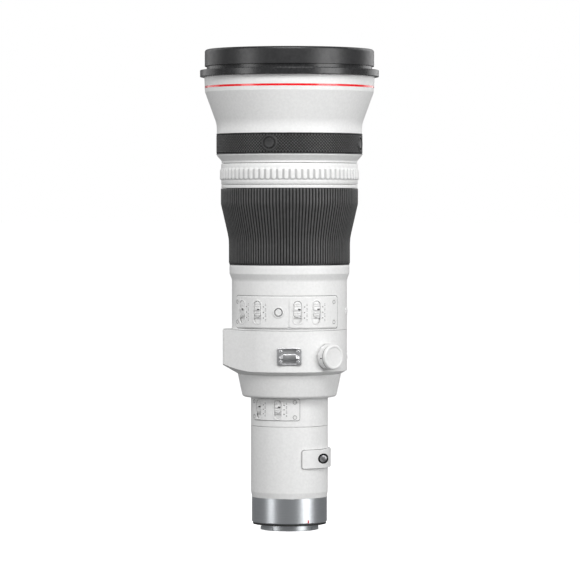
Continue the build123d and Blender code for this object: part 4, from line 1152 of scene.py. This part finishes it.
def strap_bar(place, plate_face):
    """Bar of a strap lug: straight in the middle, its ends tapering and bending down into the plate."""
    steps = 24
    loops = []
    for step in range(steps + 1):
        along = -BAR_HALF + 2 * BAR_HALF * step / steps
        share = max(0.0, (abs(along) - BAR_STRAIGHT) / (BAR_HALF - BAR_STRAIGHT))
        bend = share * share * (3 - 2 * share)
        height = BAR_HEIGHT - 2.4 * MM * share
        top = plate_face + BAR_ABOVE_PLATE * (1 - 0.9 * bend)
        thickness = 2.2 * MM - 0.8 * MM * bend
        section = box_outline(height, thickness, 0.45 * thickness, 4)
        loops.append((shifted(section, (height - BAR_HEIGHT) / 2, top - thickness / 2), along))
    across = Matrix(((0, 0, 1, 0), (1, 0, 0, 0), (0, 1, 0, 0), (0, 0, 0, 1)))
    return stacked(loops, place @ across)


def make_strap_lug(name, angle, replaced):
    """Satin metal plate with a window, the bar across it and four screws, each ringed with grey as painted
    shade of the gap round it.
    """
    place = side_frame(angle, middle("strap_lugs").z)
    plate_face = half_width("strap_lugs") - BAR_ABOVE_PLATE
    seat = plate_face - LUG_PLATE_DEPTH
    outer = box_outline(LUG_WIDTH, LUG_HEIGHT, LUG_CORNER)
    window = box_outline(*LUG_WINDOW, 1.2 * MM)
    plate = window_frame(outer, window, seat, plate_face, 0.5 * MM)
    back = stacked([(inset(outer, 0.4 * MM), seat), (inset(outer, 0.4 * MM), seat + 0.6 * MM)])
    for part in (plate, back):
        part.transform(place)
    body = join(plate, back, strap_bar(place, plate_face))
    finish_piece(name, body, "tripod_collar", "lug_metal", replaced, sharp=35)
    for number, (side, level) in enumerate(((-1, -1), (1, -1), (1, 1), (-1, 1)), 1):
        spot = place @ Matrix.Translation((side * LUG_SCREW_X, level * LUG_SCREW_Z, 0))
        bit = screw_head(plate_face + 0.3 * MM, LUG_SCREW_R, spot)
        finish_piece(f"{name}_screw_{number}", bit, "tripod_collar", "screw_metal", sharp=40)
        # painted shade: a grey ring in the gap round each screw head
        inner, outside = LUG_SCREW_R + 0.05 * MM, LUG_SCREW_R + 0.5 * MM
        low, high = plate_face - 0.6 * MM, plate_face + 0.1 * MM
        ring = turned(ring_section(inner, outside, low, high, plate_face - 0.1 * MM), 40, place=spot)
        finish_piece(f"{name}_screw_gap_shade_{number}", ring, "tripod_collar", "painted_shade_grey")


def screw_head(top, radius, place):
    """Round screw head with a cross recess, pressed out of its dome."""
    foot, dome = top - 0.9 * MM, radius * SCREW_DOME_SHARE
    outline = [(0, foot), (radius, foot), (radius, top - 0.35 * MM, 0.15 * MM)]
    outline += [(dome, top, 0.5 * MM), (0, top)]
    bm = turned(rounded(outline), 48)
    for vertex in bm.verts:
        x, y = abs(vertex.co.x), abs(vertex.co.y)
        if vertex.co.z > top - 0.5 * MM and min(x, y) < CROSS_HALF_WIDTH and max(x, y) < dome:
            vertex.co.z -= CROSS_DEPTH
    bm.transform(place)
    return bm


KNOB_R = 11.3 * MM
KNOB_HEIGHT = 10.6 * MM
KNOB_GROOVE_BELOW_TOP = 3.4 * MM
KNOB_FLUTES = 56
KNOB_FLUTE_DEPTH = 0.45 * MM
KNOB_FLUTE_SHAPE = (0.30, 0.34)
KNOB_BAND_ROWS = 8


def make_lock_knob():
    """Collar lock knob: a fluted band, a groove greyed by a ring of painted shade, and a smooth cap with a
    rim round a shallow dish.
    """
    x, y, _ = joint("lock_knob_turn")["axis"]
    angle = atan2(x, -y)
    place = side_frame(angle, middle("lock_knob").z)
    top = reach_along("lock_knob", angle)
    radius = KNOB_R
    foot = top - KNOB_HEIGHT
    groove = top - KNOB_GROOVE_BELOW_TOP
    outline = [(0, foot), (radius - 0.5 * MM, foot)]
    outline += [(radius - 0.1 * MM, foot + 0.6 * MM, 0.2 * MM), (radius, foot + 1.0 * MM)]
    for row in range(1, KNOB_BAND_ROWS):
        outline.append((radius, foot + 1.0 * MM + (groove - foot - 1.9 * MM) * row / KNOB_BAND_ROWS))
    outline += [
        (radius, groove - 0.9 * MM),
        (radius - 0.7 * MM, groove - 0.5 * MM, 0.15 * MM),
        (radius - 0.7 * MM, groove + 0.1 * MM, 0.15 * MM),
        (radius + 0.02 * MM, groove + 0.4 * MM, 0.2 * MM),
        (radius + 0.02 * MM, top, 1.4 * MM),
        (radius - 2.4 * MM, top, 0.5 * MM),
        (radius - 3.0 * MM, top - 0.45 * MM, 0.5 * MM),
        (0, top - 0.5 * MM),
    ]

    def flutes(turn, reach, height):
        if abs(reach - radius) > 0.01 * MM or height > groove - 0.8 * MM:
            return reach
        return reach - KNOB_FLUTE_DEPTH * (1 - ridge(turn * KNOB_FLUTES / (2 * pi), *KNOB_FLUTE_SHAPE))

    body = turned(rounded(outline), KNOB_FLUTES * 8, flutes, place)
    finish_piece("lock_knob_turned", body, "lock_knob", "white_plastic", ["lock_knob"], sharp=32)
    # painted shade: a grey ring that darkens the groove
    groove_shade = ring_section(radius - 1.2 * MM, radius - 0.3 * MM, groove - 0.75 * MM, groove + 0.2 * MM)
    finish_piece("lock_knob_groove_shade", turned(groove_shade, 96, place=place), "lock_knob", "painted_shade_grey")
    line = box_outline(0.9 * MM, 2.2 * MM, 0.2 * MM, 2)
    loops = [(line, -0.5 * MM), (line, 0.04 * MM)]
    index = stacked(loops, place, radius, radians(-85), groove - 2.4 * MM)
    finish_piece("lock_knob_index", index, "lock_knob", "printed_ink")


# ---------------------------------------------------------------- filter buttons and small marks

FILTER_WELL_R = 4.7 * MM
DOME_TURNS = [pi / 2 * step / 6 for step in range(1, 7)]


def make_filter_button(number, side):
    """Domed release button of the filter holder; the near-black ring in the deep recess round it is painted
    shade.
    """
    node = f"filter_button_{number}"
    low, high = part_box(node)
    centre = middle(node)
    radius = (high.z - low.z) / 2
    top = max(abs(low.y), abs(high.y))
    bottom = min(abs(low.y), abs(high.y))
    outwards = Matrix.Rotation(radians(90 if side < 0 else -90), 4, "X")
    place = Matrix.Translation((centre.x, 0, centre.z)) @ outwards
    outline = [(0, bottom), (1.4 * MM, bottom), (1.4 * MM, top - 4.2 * MM), (radius, top - 4.2 * MM)]
    outline += [(radius, top - 0.9 * MM, 0.3 * MM)]
    outline += [(radius * cos(turn), top - 0.7 * MM + 0.9 * MM * sin(turn)) for turn in DOME_TURNS]
    finish_piece(f"{node}_dome", turned(rounded(outline), 64, place=place), node, "button_metal", [node])
    inner, outer = radius + BUTTON_GAP, FILTER_WELL_R + 0.1 * MM
    # painted shade: a near-black ring in the recess round the button
    well_shade = ring_section(inner, outer, top - 5.2 * MM, top - 1.2 * MM, top - 1.6 * MM)
    finish_piece(f"{node}_well", turned(well_shade, 64, place=place), "filter_holder", "seal_rubber_and_well_shade")


MOUNT_INDEX_ANGLE = radians(29.7)
RIM_INDEX_BELOW_TOP = 19.3 * MM
BLANKING_DISC_ANGLE = radians(80)
STOP_COVER_ANGLE = radians(90)


def make_index_marks():
    """Small marks: the mount's red index and the rim's black one."""
    ring = half_width("mount_ring")
    red = box_outline(1.3 * MM, 3.0 * MM, 0.5 * MM)
    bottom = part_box("mount_ring")[0].z
    dot = bent([(red, ring - 0.3 * MM), (red, ring + 0.06 * MM)], MOUNT_INDEX_ANGLE, bottom + 2.2 * MM)
    finish_piece("mount_index", dot, "barrel", "index_red")
    groove_height = cad_high.z - RIM_INDEX_BELOW_TOP
    groove = outer_radius("front_rim", groove_height)
    spot = box_outline(1.5 * MM, 1.5 * MM, 0.7 * MM)
    rim = bent([(spot, groove - 0.3 * MM), (spot, groove + 0.05 * MM)], 0.0, groove_height)
    finish_piece("rim_index", rim, "barrel", "printed_ink")


def make_side_fittings():
    """Round blanking disc on the barrel and the cover of the collar's click stop, both on the +X side."""
    panel_height = middle("switch_panel_left").z
    barrel = outer_radius("main_barrel", panel_height)
    foot, rim, dish = barrel - 1 * MM, barrel + 0.55 * MM, barrel + 0.3 * MM
    outline = [(0, foot), (3.9 * MM, foot), (3.9 * MM, rim, 0.3 * MM), (2.9 * MM, rim, 0.2 * MM)]
    outline += [(2.6 * MM, dish, 0.15 * MM), (0, dish)]
    disc = turned(rounded(outline), 64, place=side_frame(BLANKING_DISC_ANGLE, panel_height))
    finish_piece("barrel_blanking_disc", disc, "barrel", "white_plastic")
    knob_height = middle("lock_knob").z
    collar = outer_radius("tripod_collar", knob_height)
    outline = drum(3.4 * MM, collar - 1 * MM, collar + 0.5 * MM, 0.3 * MM)
    cover = turned(outline, 64, place=side_frame(STOP_COVER_ANGLE, knob_height))
    finish_piece("collar_stop_cover", cover, "tripod_collar", "white_plastic")


# ---------------------------------------------------------------- run

dress_cad_nodes()
make_camera()
make_world()
for light_box in SOFTBOXES:
    softbox(*light_box)
make_floor()
make_focus_rubber()
make_preset_ring()
make_front_grip()
for shade_line_name, (panels, node_under, shade_line_gap) in PANEL_SHADE_LINES.items():
    make_panel_shade_line(shade_line_name, panels, node_under, shade_line_gap)
make_panel_screw_gap_shades()
for switch in SWITCHES:
    make_switch(switch)
make_set_button()
make_strap_lug("strap_lug_front", 0.0, ["strap_lugs", "lug_screws"])
make_strap_lug("strap_lug_back", pi, ["strap_lugs", "lug_screws"])
make_lock_knob()
make_filter_button(1, -1)
make_filter_button(2, 1)
make_index_marks()
make_side_fittings()
